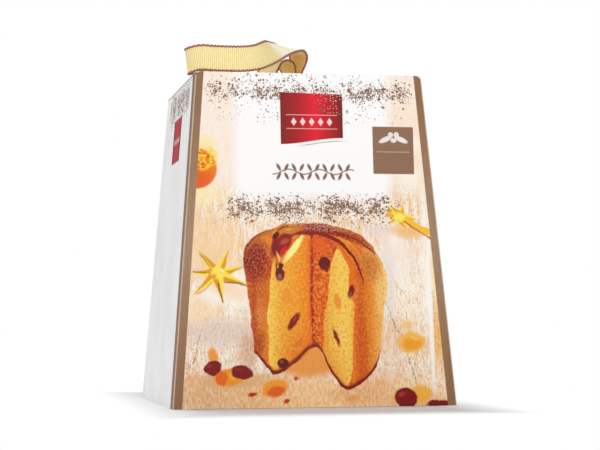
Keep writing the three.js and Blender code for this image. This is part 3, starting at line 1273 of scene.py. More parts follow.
        pale = self.shades(
            (pu - 4) * (1 / 26),
            (0, (236, 148, 58)), (0.3, (246, 190, 78)), (0.62, (250, 208, 98)), (0.86, (249, 202, 88)),
            (1, (240, 158, 62)))
        pale = self.mixed(pale, (238, 152, 56), pv.below(34, 22) * pu.below(20, 10) * 0.8)
        self.lay(pale, face)
        rim = pu.above(right_b, 0.8) * pu.below(right_b + 3.4, 1.4) * pv.within(84, 116, 4)
        self.lay((233, 116, 46), rim * 0.9)
        pores = g.noise(self.flat, 0.5, 4, 0.6)
        cut_faces = g.math("MAXIMUM", inside, face)
        self.lay((220, 108, 34), pores.above(0.56, 0.08) * cut_faces * 0.4)
        self.lay((253, 222, 126), pores.below(0.42, 0.07) * cut_faces * 0.2)
        self.lay((178, 52, 30), pores.above(0.57, 0.05) * corner * (1 - face) * 0.6)
        self.strokes(
            (((-1.4, 128), (-1.2, 110), (-2, 90), (-1.6, 70), (-1.4, 46)),
             2.2, (170, 34, 30), 1, 0.92, True, 0.1),
            (((7.4, 84), (5.6, 72), (5.4, 56), (6, 44)), 1.6, (206, 76, 40), 1.2, 0.7, True, 0.3),
        )
        self.dabs(
            (-15, 117, 12, 2.5, 54, (253, 243, 146), 1.3),
            (-29.6, 101.5, 1.6, 8, 0, (250, 178, 70), 1.2, 0.9),
            (-28.2, 103, 0.7, 5.4, 0, (120, 42, 24), 0.7, 0.9),
        )

    def dome(self, pu: Wire, pv: Wire) -> None:
        """The baked top with its cracks, and the dark line of the bottom crust.

        Args:
            pu: Across the panel, in millimetres.
            pv: Up the panel.
        """
        g = self.graph
        under = g.curve(pu, ((-54, 96), (-46, 119), (-40, 125.5), (-35, 128.5), (-28, 130.5),
                             (-18, 130.5), (-8, 129.5), (0, 129.8), (10, 128.2), (20, 125.2),
                             (30, 121.6), (38, 118.2), (47, 112.5)))
        self.dabs(
            (-24, 119.5, 5.6, 11, -38, (150, 34, 34), 1.8),
            (-28.6, 119, 3, 5.4, 0, (136, 32, 34), 1.4, 0.95),
            (-21.6, 122.2, 3.8, 1.7, 28, (194, 90, 62), 1.2, 0.85),
            (-22.8, 115.2, 4.2, 1.6, 54, (214, 52, 38), 1, 0.95),
            (-26.6, 110.8, 0.8, 3.4, 18, (252, 212, 150), 0.8, 0.85),
            (4, 120, 6.6, 4.4, -10, (234, 106, 42), 3, 0.7),
        )
        self.strokes(
            (((-13, 128.8), (-4, 128.9), (6, 128.2), (13.5, 125.2), (21, 120.6), (27, 114), (32, 107),
              (35, 99.8), (37.6, 90)), 3.6, (132, 22, 28), 0.9, 0.97, False),
            (((14, 122), (20, 118), (25, 112), (29, 105)), 1.8, (222, 92, 38), 0.9, 0.85, False),
            (((17, 127.4), (24, 123.8), (31, 117), (36.5, 109)), 1.8, (234, 150, 74), 0.9, 0.8, False),
            (((-24, 110.6), (-19, 117), (-13.5, 123.4), (-8.6, 128)), 1.3, (216, 74, 40), 0.8, 0.9, False),
        )
        top = pv.above(under, 1)
        tone = self.shades(
            pu * (1 / 100) + 0.53,
            (0, (150, 54, 40)), (0.12, (176, 84, 46)), (0.24, (206, 126, 62)), (0.42, (206, 112, 54)),
            (0.5, (156, 42, 34)), (0.66, (146, 40, 34)), (0.78, (178, 78, 42)), (0.92, (196, 104, 54)),
            (1, (214, 128, 68)))
        self.lay(tone, top)
        ridge = pv.above(under + 4.2, 2.4) * pv.above(128, 4)
        self.lay((208, 122, 60), ridge * pu.above(4, 10) * 0.6)
        brown = g.noise(self.flat, 0.55, 4, 0.7)
        shoulder = g.math("MAXIMUM", top, self.oval(-43, 110, 11, 15, 10, 4))
        self.lay((116, 26, 30), brown.above(0.55, 0.07) * shoulder * 0.6)
        self.lay((216, 122, 66), brown.below(0.43, 0.05) * shoulder * 0.5)
        self.strokes(
            (((-49, 116.6), (-46, 120.6), (-42, 124.4), (-37, 127.2), (-31, 129)), 2.6, (190, 116, 56),
              1.2, 0.85, False),
            (((-29, 131.2), (-25, 134), (-19, 134.8), (-8, 134.8)), 2.2, (226, 148, 66), 0.9, 0.85, False),
            (((-19.8, 124.6), (-15, 127.2), (-9, 129.4)), 1.6, (144, 26, 34), 0.8, 0.9, False),
            (((17, 128.2), (28, 125.4), (37, 120.8), (46, 113.4)), 1.4, (134, 44, 30), 0.8, 0.85, False),
        )
        self.dabs(
            (-17, 130.2, 8.6, 2, 6, (204, 128, 60), 0.9),
            (-18.2, 131, 2.6, 0.9, 10, (230, 174, 80), 0.8, 0.8),
            (-27.9, 126.2, 2.1, 3.7, -34, (96, 18, 22), 0.8),
        )
        self.stroke(((-27, 129.4), (-23.5, 132.2), (-19, 134.2)), 1, (112, 28, 26), 0.7, 0.9, False)
        near = g.cells(self.flat, 0.85)
        sugar = near.below(0.22, 0.12) * self.oval(6, 132.5, 16, 2.8, -4, 1.6)
        self.lay((240, 208, 190), sugar * 0.8)
        base = abs(pv - g.curve(pu, self.BOTTOM) - 1.4).below(1.9, 1.2)
        sides = g.math("MAXIMUM", pu.below(-20, 6), pu.above(4, 3))
        self.lay((128, 28, 28), base * g.math("MAXIMUM", sides, 0.92))
        self.lay((196, 84, 42), abs(pv - g.curve(pu, self.BOTTOM) - 3.6).below(0.9, 1.6) * 0.5)

    def inclusions(self) -> None:
        """Raisins and candied peel in the crumb."""
        self.wander(0.3, 1.8)
        self.dabs(
            (-25.6, 98, 3.4, 5.2, 4, (112, 30, 34), 0.9), (-24.8, 104, 1.7, 2.6, 0, (98, 22, 30), 0.9),
            (-25.8, 96, 1.5, 2, 0, (190, 116, 110), 1.4, 0.7), (-16, 63, 2.5, 7.6, -34, (136, 30, 36), 0.9),
            (-15, 65, 0.9, 3, -34, (176, 76, 66), 0.9, 0.6), (-24.6, 32.5, 4.4, 3.7, 0, (104, 24, 32), 0.9),
            (-25.6, 33.6, 1.3, 1.1, 0, (168, 92, 92), 1, 0.7), (7.9, 106, 4.6, 4.6, 10, (112, 22, 32), 0.9),
            (9.6, 101.6, 1.6, 2.4, 0, (132, 30, 32), 0.9), (27.6, 85, 2.3, 5.2, -16, (128, 36, 36), 0.9),
            (27.2, 83, 0.9, 2, -16, (180, 100, 84), 0.9, 0.7), (15.8, 51, 1.5, 7, 20, (148, 48, 40), 0.9),
            (-21, 81, 3.2, 6, -8, (240, 146, 56), 1, 0.9),
            (-21.6, 80, 1.4, 4, -8, (246, 166, 70), 1.4, 0.7),
            (17.2, 77.5, 2.6, 6, 12, (240, 146, 58), 1, 0.9), (3, 96, 3, 2.4, 30, (206, 70, 36), 1.4, 0.7),
            (-12, 47, 4, 2.2, 38, (228, 112, 46), 2, 0.7),
        )


class BackPrint(WoodAndLabel):
    """The back: the same wood, bands and stripes round a plain white label."""

    def build(self) -> Material:
        """Print the back in order.

        Returns:
            The material.
        """
        self.wood()
        self.label()
        self.star_band(2, ((222, 0.04), (228, 0.3), (233, 0.95), (238, 0.9), (242, 0.4),
                             (250, 0.08)), 66)
        self.star_band(3, ((133, 0.06), (141, 0.4), (145, 1), (150, 1), (154, 0.4),
                             (161, 0)), 62)
        self.plaque()
        self.sprig()
        self.info_panel()
        self.stripes()
        return self.board()

    def info_panel(self) -> None:
        """A plain white panel with a thin frame, where a maker's details would stand."""
        self.lay((252, 250, 247), self.box(-58, 58, 24, 118) * 0.9)
        frame_line = (abs(self.u).within(55.2, 55.9, 0.4) * self.v.within(26.5, 115.5, 0.4)
                      + abs(self.v - 71).within(44.1, 44.8, 0.4) * self.u.within(-56, 56, 0.4))
        self.lay((168, 138, 118), frame_line)
        self.rays(0, 71, [(24 * math.cos(a), 71 + 24 * math.sin(a))
                              for a in (math.tau * k / 8 + 0.2 for k in range(8))], 4.4,
                  (233, 205, 150), (196, 152, 98), 0.8)


class SidePrint(WoodAndLabel):
    """A side: white printed a little greyer than the front as painted shade, with the stripe that wraps
    round, a few stars and a plaque.
    """

    def __init__(self, name: str, side: Side) -> None:
        """Note which way along the panel the front is."""
        super().__init__(name, side)
        self.forward = 1 if side is Side.LEFT else -1

    def build(self) -> Material:
        """Print a side in order.

        Returns:
            The material.
        """
        g = self.graph
        soft = g.noise(self.flat, 0.02, 2)
        # A greyer white than the front's: painted shade for the sides' dimmer light.
        self.colour = g.mix(ink(240, 239, 239), ink(247, 246, 246), soft.above(0.5, 0.3))
        self.star_band(4, ((212, 0), (222, 0.2), (228, 0.7), (238, 0.9), (243, 0.5),
                             (250, 0.1)), 60)
        box = abs(self.u).below(23.5, 0.5) * self.v.within(188, 223, 0.5)
        middle = g.ramp(abs(self.u) * (1 / 23.5), (
            (0, ink(200, 18, 46)), (0.6, ink(164, 16, 38)), (1, ink(116, 12, 28))))
        self.lay(middle, box)
        row = self.lozenges(self.u, 205) * abs(self.u).below(17, 0.3)
        self.lay(ink(244, 208, 208), row * box)
        edge = self.v.fit(-20 / 248.8, 92)
        fibre = g.noise(g.moved(self.flat, (0.9, 0.05, 1)), 1, 2)
        tone = g.mix(ink(150, 118, 94), ink(134, 104, 82), fibre)
        self.lay(tone, (self.u * self.forward).above(edge, 0.5))
        return self.board(0.03)


@dataclass(frozen=True)
class FoldLine:
    """The board at a fold, lighter than the print: partly a painted highlight along the rounded crease,
    partly ink cracked to the white below.
    """

    # A light tone that stands partly for the crease's painted highlight and partly for worn ink.
    colour: Colour = ink(206, 184, 164)

    def build(self) -> Material:
        """Worn, matt and lighter than the print on both sides of it, the lightness partly a painted
        highlight.

        Returns:
            The material.
        """
        g = Graph("fold_line")
        here = g.place()
        run = g.moved(here, (900.0, 900.0, 60.0))
        worn = g.noise(run, 1.0, 3.0, 0.6, flat=False)
        colour = g.mix(self.colour, ink(186, 160, 138), worn.above(0.5, 0.3))
        return g.finish(g.surface(colour, 0.6, Normal=g.bump(worn, 0.3, 0.0003)))


@dataclass(frozen=True)
class PlainBoard:
    """Uncoated board: the carton's inside, its flaps and its cut edges."""

    name: str = "plain_board"
    light: Colour = ink(226, 223, 216)
    dark: Colour = ink(208, 203, 193)

    def build(self) -> Material:
        """Grey-white recycled board with fibres and small specks.

        Returns:
            The material.
        """
        g = Graph(self.name)
        here = g.place()
        fibre = g.noise(g.moved(here, (500.0, 900.0, 500.0)), 1.0, 4.0, 0.65, flat=False)
        cloud = g.noise(here, 14.0, 2.0, flat=False)
        colour = g.mix(self.dark, self.light, cloud.above(0.48, 0.3))
        colour = g.mix(colour, ink(196, 188, 172), fibre.above(0.62, 0.08) * 0.5)
        speck = g.cells(here, 260.0, flat=False).below(0.12, 0.06)
        colour = g.mix(colour, ink(150, 138, 120), speck * 0.45)
        rough = fibre.fit(0.2, 0.62)
        return g.finish(g.surface(colour, rough, Normal=g.bump(fibre, 0.2, 0.0003)))


# ---- carton board pieces ----
class Walls:
    """The carton's four walls as one folded shell."""

    def __init__(self, size: CartonSize) -> None:
        """Keep the sizes."""
        self.size = size

    def build(self) -> Piece:
        """Fold, thicken, trim and print the walls.

        Returns:
            The shell.
        """
        s = self.size
        w = 2 * s.base_half
        wall = cube("carton_walls", (-w / 2, -w / 2, 0), (w / 2, w / 2, s.height))
        with editing(wall):
            pick(Part.FACE, lambda c, n: n.z > 0.9)
            k = s.top_half / s.base_half
            resize(k, k, (0, 0, s.height))
            pick(Part.FACE, lambda c, n: abs(n.z) > 0.9)
            bpy.ops.mesh.delete(type="ONLY_FACE")
            pick(Part.EDGE, lambda c, d: abs(d.z) > 0.9)
            bevel(s.fold, 4)
        modify(wall, "SOLIDIFY", thickness=s.board, offset=-1, use_even_offset=True)
        self.trim(wall)
        reshape(wall, lambda co: Vector((co.x, co.y, max(co.z, 0.0))))
        smooth(wall, 32)
        self.print_on(wall)
        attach(wall, "carton")
        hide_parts("front_panel", "back_panel", "left_panel", "right_panel")
        return wall

    def trim(self, wall: Piece) -> None:
        """Lower the sides and the back, and round the front panel's free corners.

        Args:
            wall: The shell.
        """
        s = self.size
        far = 0.13
        behind = -(s.top_half - s.board - 0.0011)
        over = 0.26
        cut(wall, cube("trim_sides", (-far, behind, s.side_top), (far, s.back_inside, over)))
        cut(wall, cube("trim_back", (-far, s.back_inside, s.back_top), (far, far, over)))
        waste = cube("trim_corner", (-far, -far, s.corner_low), (far, behind, over))
        low = 0.23
        half = s.half_at(low) + 0.00003
        keep = cube("keep_corner", (-half, -0.15, low), (half, -0.05, s.height))
        with editing(keep):
            pick(Part.FACE, lambda c, n: n.z > 0.9)
            k = s.top_half / s.half_at(low)
            resize(k, 1, (0, 0, s.height))
            pick(Part.EDGE, lambda c, d: abs(d.y) > 0.9 and c.z > 0.24)
            bevel(s.corner, 8)
        cut(waste, keep)
        cut(wall, waste)

    def print_on(self, wall: Piece) -> None:
        """Give the front, back, sides, folds and inside their own finishes.

        Args:
            wall: The shell.
        """
        sides = (Side.FRONT, Side.BACK, Side.LEFT, Side.RIGHT)
        dress(wall, PlainBoard("carton_inside").build(), FoldLine().build(),
              FrontPrint("front_print", Side.FRONT).build(),
              BackPrint("back_print", Side.BACK).build(),
              SidePrint("left_print", Side.LEFT).build(),
              SidePrint("right_print", Side.RIGHT).build())
        size = self.size

        def choose(c: Vector, n: Vector) -> int:
            """The slot of one face.

            Args:
                c: The face's middle.
                n: Its normal.

            Returns:
                The slot.
            """
            if abs(n.z) > 0.6:
                return 0
            reach = max(c.dot(side.facing) for side in sides)
            if reach < size.half_at(c.z) - size.board * 0.6 and n.x * c.x + n.y * c.y < 0:
                return 0
            for slot, side in enumerate(sides, start=2):
                if n.dot(side.facing) > 0.985 and abs(c.dot(side.facing) - size.half_at(c.z)) < 2e-4:
                    return slot
            return 1 if n.x * c.x + n.y * c.y > 0 else 0

        paint_faces(wall, choose)


@dataclass
class Lid:
    """The lid, its tuck flap and the slot that the ribbon goes through."""

    half: float = 0.0859
    front: float = -0.0851
    back: float = 0.0859
    top: float = 0.248
    board: float = 0.0006
    tuck_half: float = 0.084
    tuck_depth: float = 0.025
    step: float = 0.0016
    lean: float = math.radians(7)
    corner: float = 0.012
    slot_middle: float = 0.0048
    slot_size: tuple[float, float] = (0.0076, 0.0215)

    def build(self) -> Piece:
        """Fold the lid and its tuck flap from one sheet.

        Returns:
            The lid.
        """
        clear_selection()
        bpy.ops.mesh.primitive_plane_add(size=1, location=(0, (self.front + self.back) / 2, self.top),
                                         scale=(1, 1, 1))
        bpy.context.object.scale = (2 * self.half, self.back - self.front, 1)
        lid = named("lid_board")
        down = Vector((0, math.sin(self.lean), -math.cos(self.lean)))
        with editing(lid):
            pick(Part.EDGE, lambda c, d: c.y < self.front + 1e-5 and abs(d.x) > 0.9)
            extrude(down * self.step)
            resize(self.tuck_half / self.half, 1, (0, 0, 0))
            extrude(down * (self.tuck_depth - self.step))
            pick(Part.EDGE, lambda c, d: c.y > self.back - 1e-5 and abs(d.x) > 0.9)
            extrude((0, 0.00005, -self.board))
            pick(Part.VERT, lambda c, n: c.z < self.top - 0.02)
            bevel(self.corner, 8, "VERTICES")
            pick(Part.EDGE, lambda c, d: abs(d.x) > 0.9 and c.z > self.top - 1e-5
                 and abs(c.y) > 0.08)
            bevel(0.0004, 3)
            select_all()
            bpy.ops.mesh.normals_make_consistent(inside=False)
            bm = bmesh.from_edit_mesh(lid.data)
            bm.faces.ensure_lookup_table()
            big = max(bm.faces, key=lambda f: f.calc_area())
            if big.normal.z < 0:
                bpy.ops.mesh.flip_normals()
        modify(lid, "SOLIDIFY", thickness=self.board, offset=-1, use_even_offset=True)
        sx, sy = self.slot_size
        tool = cube("slot_tool", (self.slot_middle - sx / 2, -sy / 2, self.top - 0.01),
                    (self.slot_middle + sx / 2, sy / 2, self.top + 0.01))
        with editing(tool):
            pick(Part.EDGE, lambda c, d: abs(d.z) > 0.9)
            bevel(0.0018, 5)
        cut(lid, tool)
        smooth(lid, 32)
        dress(lid, PlainBoard("lid_inside").build(), self.outside())
        paint_faces(lid, lambda c, n: 1 if n.z > 0.5 or (n.y < -0.5 and c.y < -0.07)
                    or n.y > 0.5 and c.z > self.top - 0.001 and c.y > 0.08 else 0)
        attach(lid, "lid")
        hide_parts("lid_panel", "tuck_flap")
        return lid

    @staticmethod
    def outside() -> Material:
        """Plain white print, laid greyer than the front's white as painted shade for the strongly lit top,
        with a few stars round the slot's side of the lid.

        Returns:
            The material.
        """
        g = Graph("lid_print")
        x, y, _ = g.split(g.place())
        flat = g.join(x * 1000.0, y * 1000.0)
        cloud = g.noise(flat, 0.02, 2.0)
        # Greyer than the front's white: painted shade, so the strongly lit top does not burn out.
        colour = g.mix(ink(226, 225, 223), ink(232, 231, 230), cloud.above(0.5, 0.3))
        for scale, size, share in ((0.9, 0.5, 0.5), (0.4, 0.42, 0.34)):
            near = g.cells(flat, scale, shape=0.6)
            rim = g.math("MAXIMUM", abs(x), abs(y)).above(0.07, 0.022)
            luck = near.other("Color").value("Red")
            reach = g.math("MULTIPLY", rim * share - luck, size * 1.5, clamp=True)
            colour = g.mix(colour, ink(146, 114, 92), (reach - near).above(0.05, 0.16))
        fibre = g.noise(flat, 1.4, 3.0, 0.6)
        rough = fibre.fit(0.12, 0.38)
        return g.finish(g.surface(colour, rough, Normal=g.bump(fibre + cloud * 4.0, 0.12, 0.0004),
                            Coat_Weight=0.15, Coat_Roughness=0.25))


# ---- ribbon ----
Row = tuple[tuple[float, float, float], tuple[float, float, float]]


@dataclass(frozen=True)
class Section:
    """One cross-section of the ribbon."""

    edge: Vector
    across: Vector
    normal: Vector
    along: float


class Face(Enum):
    """The ribbon's two faces."""

    OUTER = 0
    INNER = 1


@dataclass
class Ribbon:
    """The woven ribbon: one length, out of the slot, round, and back down the slot."""

    width: float = 0.019
    thick: float = 0.00055
    rib_pitch: float = 0.0015
    rib_height: float = 0.00013
    step: float = 0.0005
    columns: int = 8
    loop_pitch: float = 0.0029
    loop_radius: float = 0.0006
    thread: float = 0.0005
    route: tuple[Row, ...] = (
        ((6.4, -9.5, 238.0), (0, 1, 0)), ((6.4, -9.5, 248.5), (0, 1, 0)),
        ((8.2, -10.0, 257.0), (-0.35, 0.93, 0)), ((11.8, -11.5, 265.5), (-0.62, 0.78, 0)),
        ((12.8, -15.0, 271.6), (-0.8, 0.6, -0.05)), ((8.4, -23.0, 275.0), (-0.9, 0.42, 0.06)),
        ((0.4, -35.0, 272.2), (-0.86, 0.35, 0.32)), ((-9.0, -49.0, 267.0), (-0.74, 0.3, 0.58)),
        ((-18.0, -61.5, 260.9), (-0.48, 0.2, 0.84)), ((-27.5, -72.6, 255.2), (-0.22, 0.12, 0.97)),
        ((-37.0, -80.3, 251.0), (-0.06, 0.04, 1)), ((-48.0, -84.2, 248.9), (0, 0, 1)),
        ((-60.0, -84.8, 248.5), (0, 0, 1)), ((-72.0, -84.4, 248.7), (0, 0, 1)),
        ((-81.5, -83.0, 249.2), (-0.02, 0, 1)), ((-88.0, -78.0, 248.0), (-0.1, 0.02, 1)),
        ((-89.2, -69.5, 247.6), (-0.12, 0.03, 1)), ((-84.6, -62.4, 248.8), (-0.02, 0.05, 1)),
        ((-74.0, -58.6, 248.7), (0, 0.05, 1)), ((-61.0, -55.2, 248.6), (-0.08, 0.25, 0.96)),
        ((-47.5, -50.8, 248.6), (-0.22, 0.58, 0.78)), ((-35.5, -44.6, 248.7), (-0.42, 0.78, 0.45)),
        ((-25.0, -36.6, 249.2), (-0.6, 0.76, 0.18)), ((-16.8, -28.2, 252.4), (-0.7, 0.71, 0.03)),
        ((-11.8, -21.4, 260.2), (-0.74, 0.67, 0)), ((-7.4, -17.2, 266.7), (-0.7, 0.72, 0.03)),
        ((-1.9, -13.2, 268.8), (-0.63, 0.78, 0)), ((3.2, -10.8, 266.0), (-0.58, 0.81, -0.05)),
        ((4.2, -10.0, 259.0), (-0.38, 0.92, 0)), ((3.2, -9.5, 248.5), (0, 1, 0)),
        ((3.2, -9.5, 238.0), (0, 1, 0)),
    )
    sections: list[Section] = field(default_factory=list)

    @staticmethod
    def through(a: Vector, b: Vector, c: Vector, d: Vector, t: float) -> Vector:
        """The smooth curve through four points, a fraction t of the way from b to c."""
        return 0.5 * (2 * b + (c - a) * t + (2 * a - 5 * b + 4 * c - d) * t * t
                      + (3 * b - a - 3 * c + d) * t * t * t)

    def lay_out(self) -> None:
        """Work out evenly spaced cross-sections along the route."""
        rows = [(Vector(p) * MM, Vector(w)) for p, w in self.route]

        def row(i: int, kind: int) -> Vector:
            """A row's point or width direction, with the end rows repeated."""
            return rows[min(max(i, 0), len(rows) - 1)][kind]

        fine = 24
        points, ways = [], []
        for k in range((len(rows) - 1) * fine + 1):
            i = min(k // fine, len(rows) - 2)
            t = k / fine - i
            for kind, store in ((0, points), (1, ways)):
                store.append(self.through(row(i - 1, kind), row(i, kind), row(i + 1, kind),
                                          row(i + 2, kind), t))
        middles = []
        raw = []
        for k, (point, way) in enumerate(zip(points, ways)):
            run = (points[min(k + 1, len(points) - 1)] - points[max(k - 1, 0)]).normalized()
            across = (way - run * way.dot(run)).normalized()
            raw.append((point, across, run))
            middles.append(point + across * self.width / 2)
        lengths = [0.0]
        for a, b in zip(middles, middles[1:]):
            lengths.append(lengths[-1] + (b - a).length)
        total = lengths[-1]
        count = round(total / self.step)
        at = 0
        for n in range(count + 1):
            goal = total * n / count
            while at < len(lengths) - 2 and lengths[at + 1] < goal:
                at += 1
            t = (goal - lengths[at]) / max(lengths[at + 1] - lengths[at], 1e-9)
            point = raw[at][0].lerp(raw[at + 1][0], t)
            across = raw[at][1].lerp(raw[at + 1][1], t).normalized()
            run = raw[at][2].lerp(raw[at + 1][2], t).normalized()
            across = (across - run * across.dot(run)).normalized()
            self.sections.append(Section(point, across, run.cross(across), goal))

    def build(self) -> list[Piece]:
        """Weave the ribbon and whip its two edges.

        Returns:
            The band and its threads.
        """
        self.lay_out()
        band = self.weave()
        edges = [self.whip("ribbon_edge_near", 0.0, 1), self.whip("ribbon_edge_far", 1.0, -1)]
        thread = EdgeThread().build()
        for edge in edges:
            dress(edge, thread)
            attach(edge, "lid")
        dress(band, Grosgrain(Face.OUTER).build(), Grosgrain(Face.INNER).build())
        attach(band, "lid")
        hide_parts("ribbon_handle")
        return [band, *edges]

    def weave(self) -> Piece:
        """The band itself, with its crosswise ribs and a map of its own for the threads.

        Returns:
            The band.
        """
        bm = bmesh.new()
        uv = bm.loops.layers.uv.new("weave")
        width = self.width - 0.0006
        grids: list[list[list[bmesh.types.BMVert]]] = [[], []]
        for section in self.sections:
            phase = math.cos(math.tau * section.along / self.rib_pitch)
            lift = self.thick / 2 + self.rib_height * (0.5 + 0.5 * phase)
            for face in Face:
                sign = 1 if face is Face.OUTER else -1
                ring = []
                for c in range(self.columns + 1):
                    t = c / self.columns
                    rim = min(t, 1 - t) * self.columns
                    thin = 0.45 + 0.55 * min(rim, 1.0)
                    place = (section.edge + section.across * (0.0003 + t * width)
                             + section.normal * sign * lift * thin)
                    ring.append(bm.verts.new(place))
                grids[face.value].append(ring)

        def quad(verts: Sequence[bmesh.types.BMVert], coords: Sequence[Point], slot: int) -> None:
            """One face with its place on the map.

            Args:
                verts: Its corners.
                coords: Their places on the map.
                slot: Its material slot.
            """
            made = bm.faces.new(verts)
            made.material_index = slot
            made.smooth = True
            for loop, spot in zip(made.loops, coords):
                loop[uv].uv = spot

        for i in range(len(self.sections) - 1):
            s0, s1 = self.sections[i].along, self.sections[i + 1].along
            for c in range(self.columns):
                t0, t1 = c / self.columns * self.width, (c + 1) / self.columns * self.width
                for face in Face:
                    g = grids[face.value]
                    verts = [g[i][c], g[i + 1][c], g[i + 1][c + 1], g[i][c + 1]]
                    spots = [(t0, s0), (t0, s1), (t1, s1), (t1, s0)]
                    if face is Face.INNER:
                        verts.reverse()
                        spots.reverse()
                    quad(verts, spots, face.value)
            for c, first in ((0, Face.INNER), (self.columns, Face.OUTER)):
                a, b = grids[first.value], grids[1 - first.value]
                t = c / self.columns * self.width
                quad([a[i][c], a[i + 1][c], b[i + 1][c], b[i][c]],
                     [(t, s0), (t, s1), (t, s1), (t, s0)], 0)
        for i, flip in ((0, False), (len(self.sections) - 1, True)):
            ring = grids[0][i] + list(reversed(grids[1][i]))
            if flip:
                ring.reverse()
            quad(ring, [(0, self.sections[i].along)] * len(ring), 0)
        bmesh.ops.recalc_face_normals(bm, faces=bm.faces)
        return placed("ribbon_band", bm)

    def whip(self, name: str, side: float, sign: int) -> Piece:
        """The thread that loops round one edge.

        Args:
            name: The piece's name.
            side: 0 for the near edge and 1 for the far one.
            sign: Which way the thread winds.

        Returns:
            The thread as a closed tube.
        """
        path, core = [], []
        per_turn = 10
        turns = self.sections[-1].along / self.loop_pitch
        count = round(turns * per_turn)
        for k in range(count + 1):
            goal = (len(self.sections) - 1) * k / count
            i = min(int(goal), len(self.sections) - 2)
            a, b = self.sections[i], self.sections[i + 1]
            t = goal - i
            edge = a.edge.lerp(b.edge, t)
            across = a.across.lerp(b.across, t).normalized()
            normal = a.normal.lerp(b.normal, t).normalized()
            angle = sign * math.tau * k / per_turn
            middle = edge + across * (side * self.width + (0.5 - side) * 0.0008)
            core.append(middle)
            bulge = 1.0 + 0.1 * noise.noise(Vector((k * 0.31, side * 9, 0)))
            path.append(middle + bulge * self.loop_radius
                        * (math.cos(angle) * across + 0.85 * math.sin(angle) * normal))
        thread = tube(name, path, self.thread, 5)
        inner = tube(f"{name}_core", core[::2], self.thread * 1.3, 6)
        activate(thread)
        inner.select_set(True)
        bpy.ops.object.join()
        return thread


@dataclass(frozen=True)
class Grosgrain:
    """Ribbed woven ribbon, cream outside; its gold inside and at both outer ends is painted warm shade, and
    its paler twisted run a painted highlight.
    """

    face: Face

    def build(self) -> Material:
        """Ribs from the mesh, and the fine threads over them from the map, with painted shade in the rib
        valleys and between the threads.

        Returns:
            The material.
        """
        g = Graph(f"grosgrain_{self.face.name.lower()}")
        spot = g.node("UVMap", {"uv_map": "weave"}, None, "UV")
        across, along, _ = g.split(spot)
        outer = self.face is Face.OUTER
        # Gold tones: painted warm shade, for the shadowed inner face and, on the outer face, both ends by
        # the slot.
        light, dark = ink(255, 216, 104), ink(230, 170, 62)
        if outer:
            # The twisted run is paler: a painted highlight where it faces the light.
            twist = along.within(0.044, 0.094, 0.012)
            tail = g.math("MAXIMUM", along.above(0.292, 0.006), along.below(0.047, 0.006))
            light = g.mix(g.mix(ink(253, 238, 172), ink(255, 253, 228), twist), light, tail)
            dark = g.mix(g.mix(ink(234, 202, 112), ink(252, 246, 208), twist), dark, tail)
        rib = g.math("COSINE", along * (math.tau / 0.0015))
        thread = g.math("COSINE", across * (math.tau / 0.0009))
        weave = (rib * thread).fit(0.25, 0.5)
        hand = g.noise(g.moved(spot, (300.0, 1500.0, 1.0)), 1.0, 3.0, 0.6)
        # Lighter on the rib crests and darker in the valleys: painted light and shade.
        colour = g.mix(dark, light, rib.above(-0.25, 1.1))
        # Darker where the weave dips between threads: painted shade.
        colour = g.mix(colour, ink(206, 176, 98) if outer else ink(160, 104, 34),
                       weave.below(0.36, 0.2) * 0.35)
        colour = g.mix(colour, ink(255, 248, 222) if outer else ink(240, 204, 120),
                       hand.above(0.56, 0.12) * 0.4)
        height = weave * 0.6 + hand * 0.4
        return g.finish(g.surface(colour, 0.72, Normal=g.bump(height, 0.5, 0.0002),
                            Sheen_Weight=0.35, Sheen_Roughness=0.4,
                            Sheen_Tint=ink(255, 240, 200)))


@dataclass(frozen=True)
class EdgeThread:
    """The brown thread along the ribbon's edges."""

    def build(self) -> Material:
        """Twisted, slightly glossy thread with lighter strands.

        Returns:
            The material.
        """
        g = Graph("edge_thread")
        here = g.place()
        strand = g.noise(g.moved(here, (1800.0, 1800.0, 1800.0)), 1.0, 2.0, flat=False)
        colour = g.mix(ink(132, 58, 50), ink(182, 108, 92), strand.above(0.5, 0.14))
        return g.finish(g.surface(colour, 0.6, Normal=g.bump(strand, 0.3, 0.0001), Sheen_Weight=0.3))


# ---- clip, flaps and contents ----
@dataclass(frozen=True)
class Steel:
    """Rolled, lightly brushed steel strip."""

    def build(self) -> Material:
        """Brushed along the clip, with a few handling marks.

        Returns:
            The material.
        """
        g = Graph("clip_steel")
        here = g.place()
        brushed = g.noise(g.moved(here, (2600.0, 90.0, 2600.0)), 1.0, 3.0, 0.6, flat=False)
        marks = g.noise(here, 260.0, 3.0, flat=False)
        colour = g.mix(ink(186, 188, 192), ink(214, 215, 218), brushed.above(0.5, 0.2))
        rough = marks.fit(0.3, 0.18)
        return g.finish(g.surface(colour, rough, Metallic=1.0,
                            Normal=g.bump(brushed, 0.2, 0.0001)))


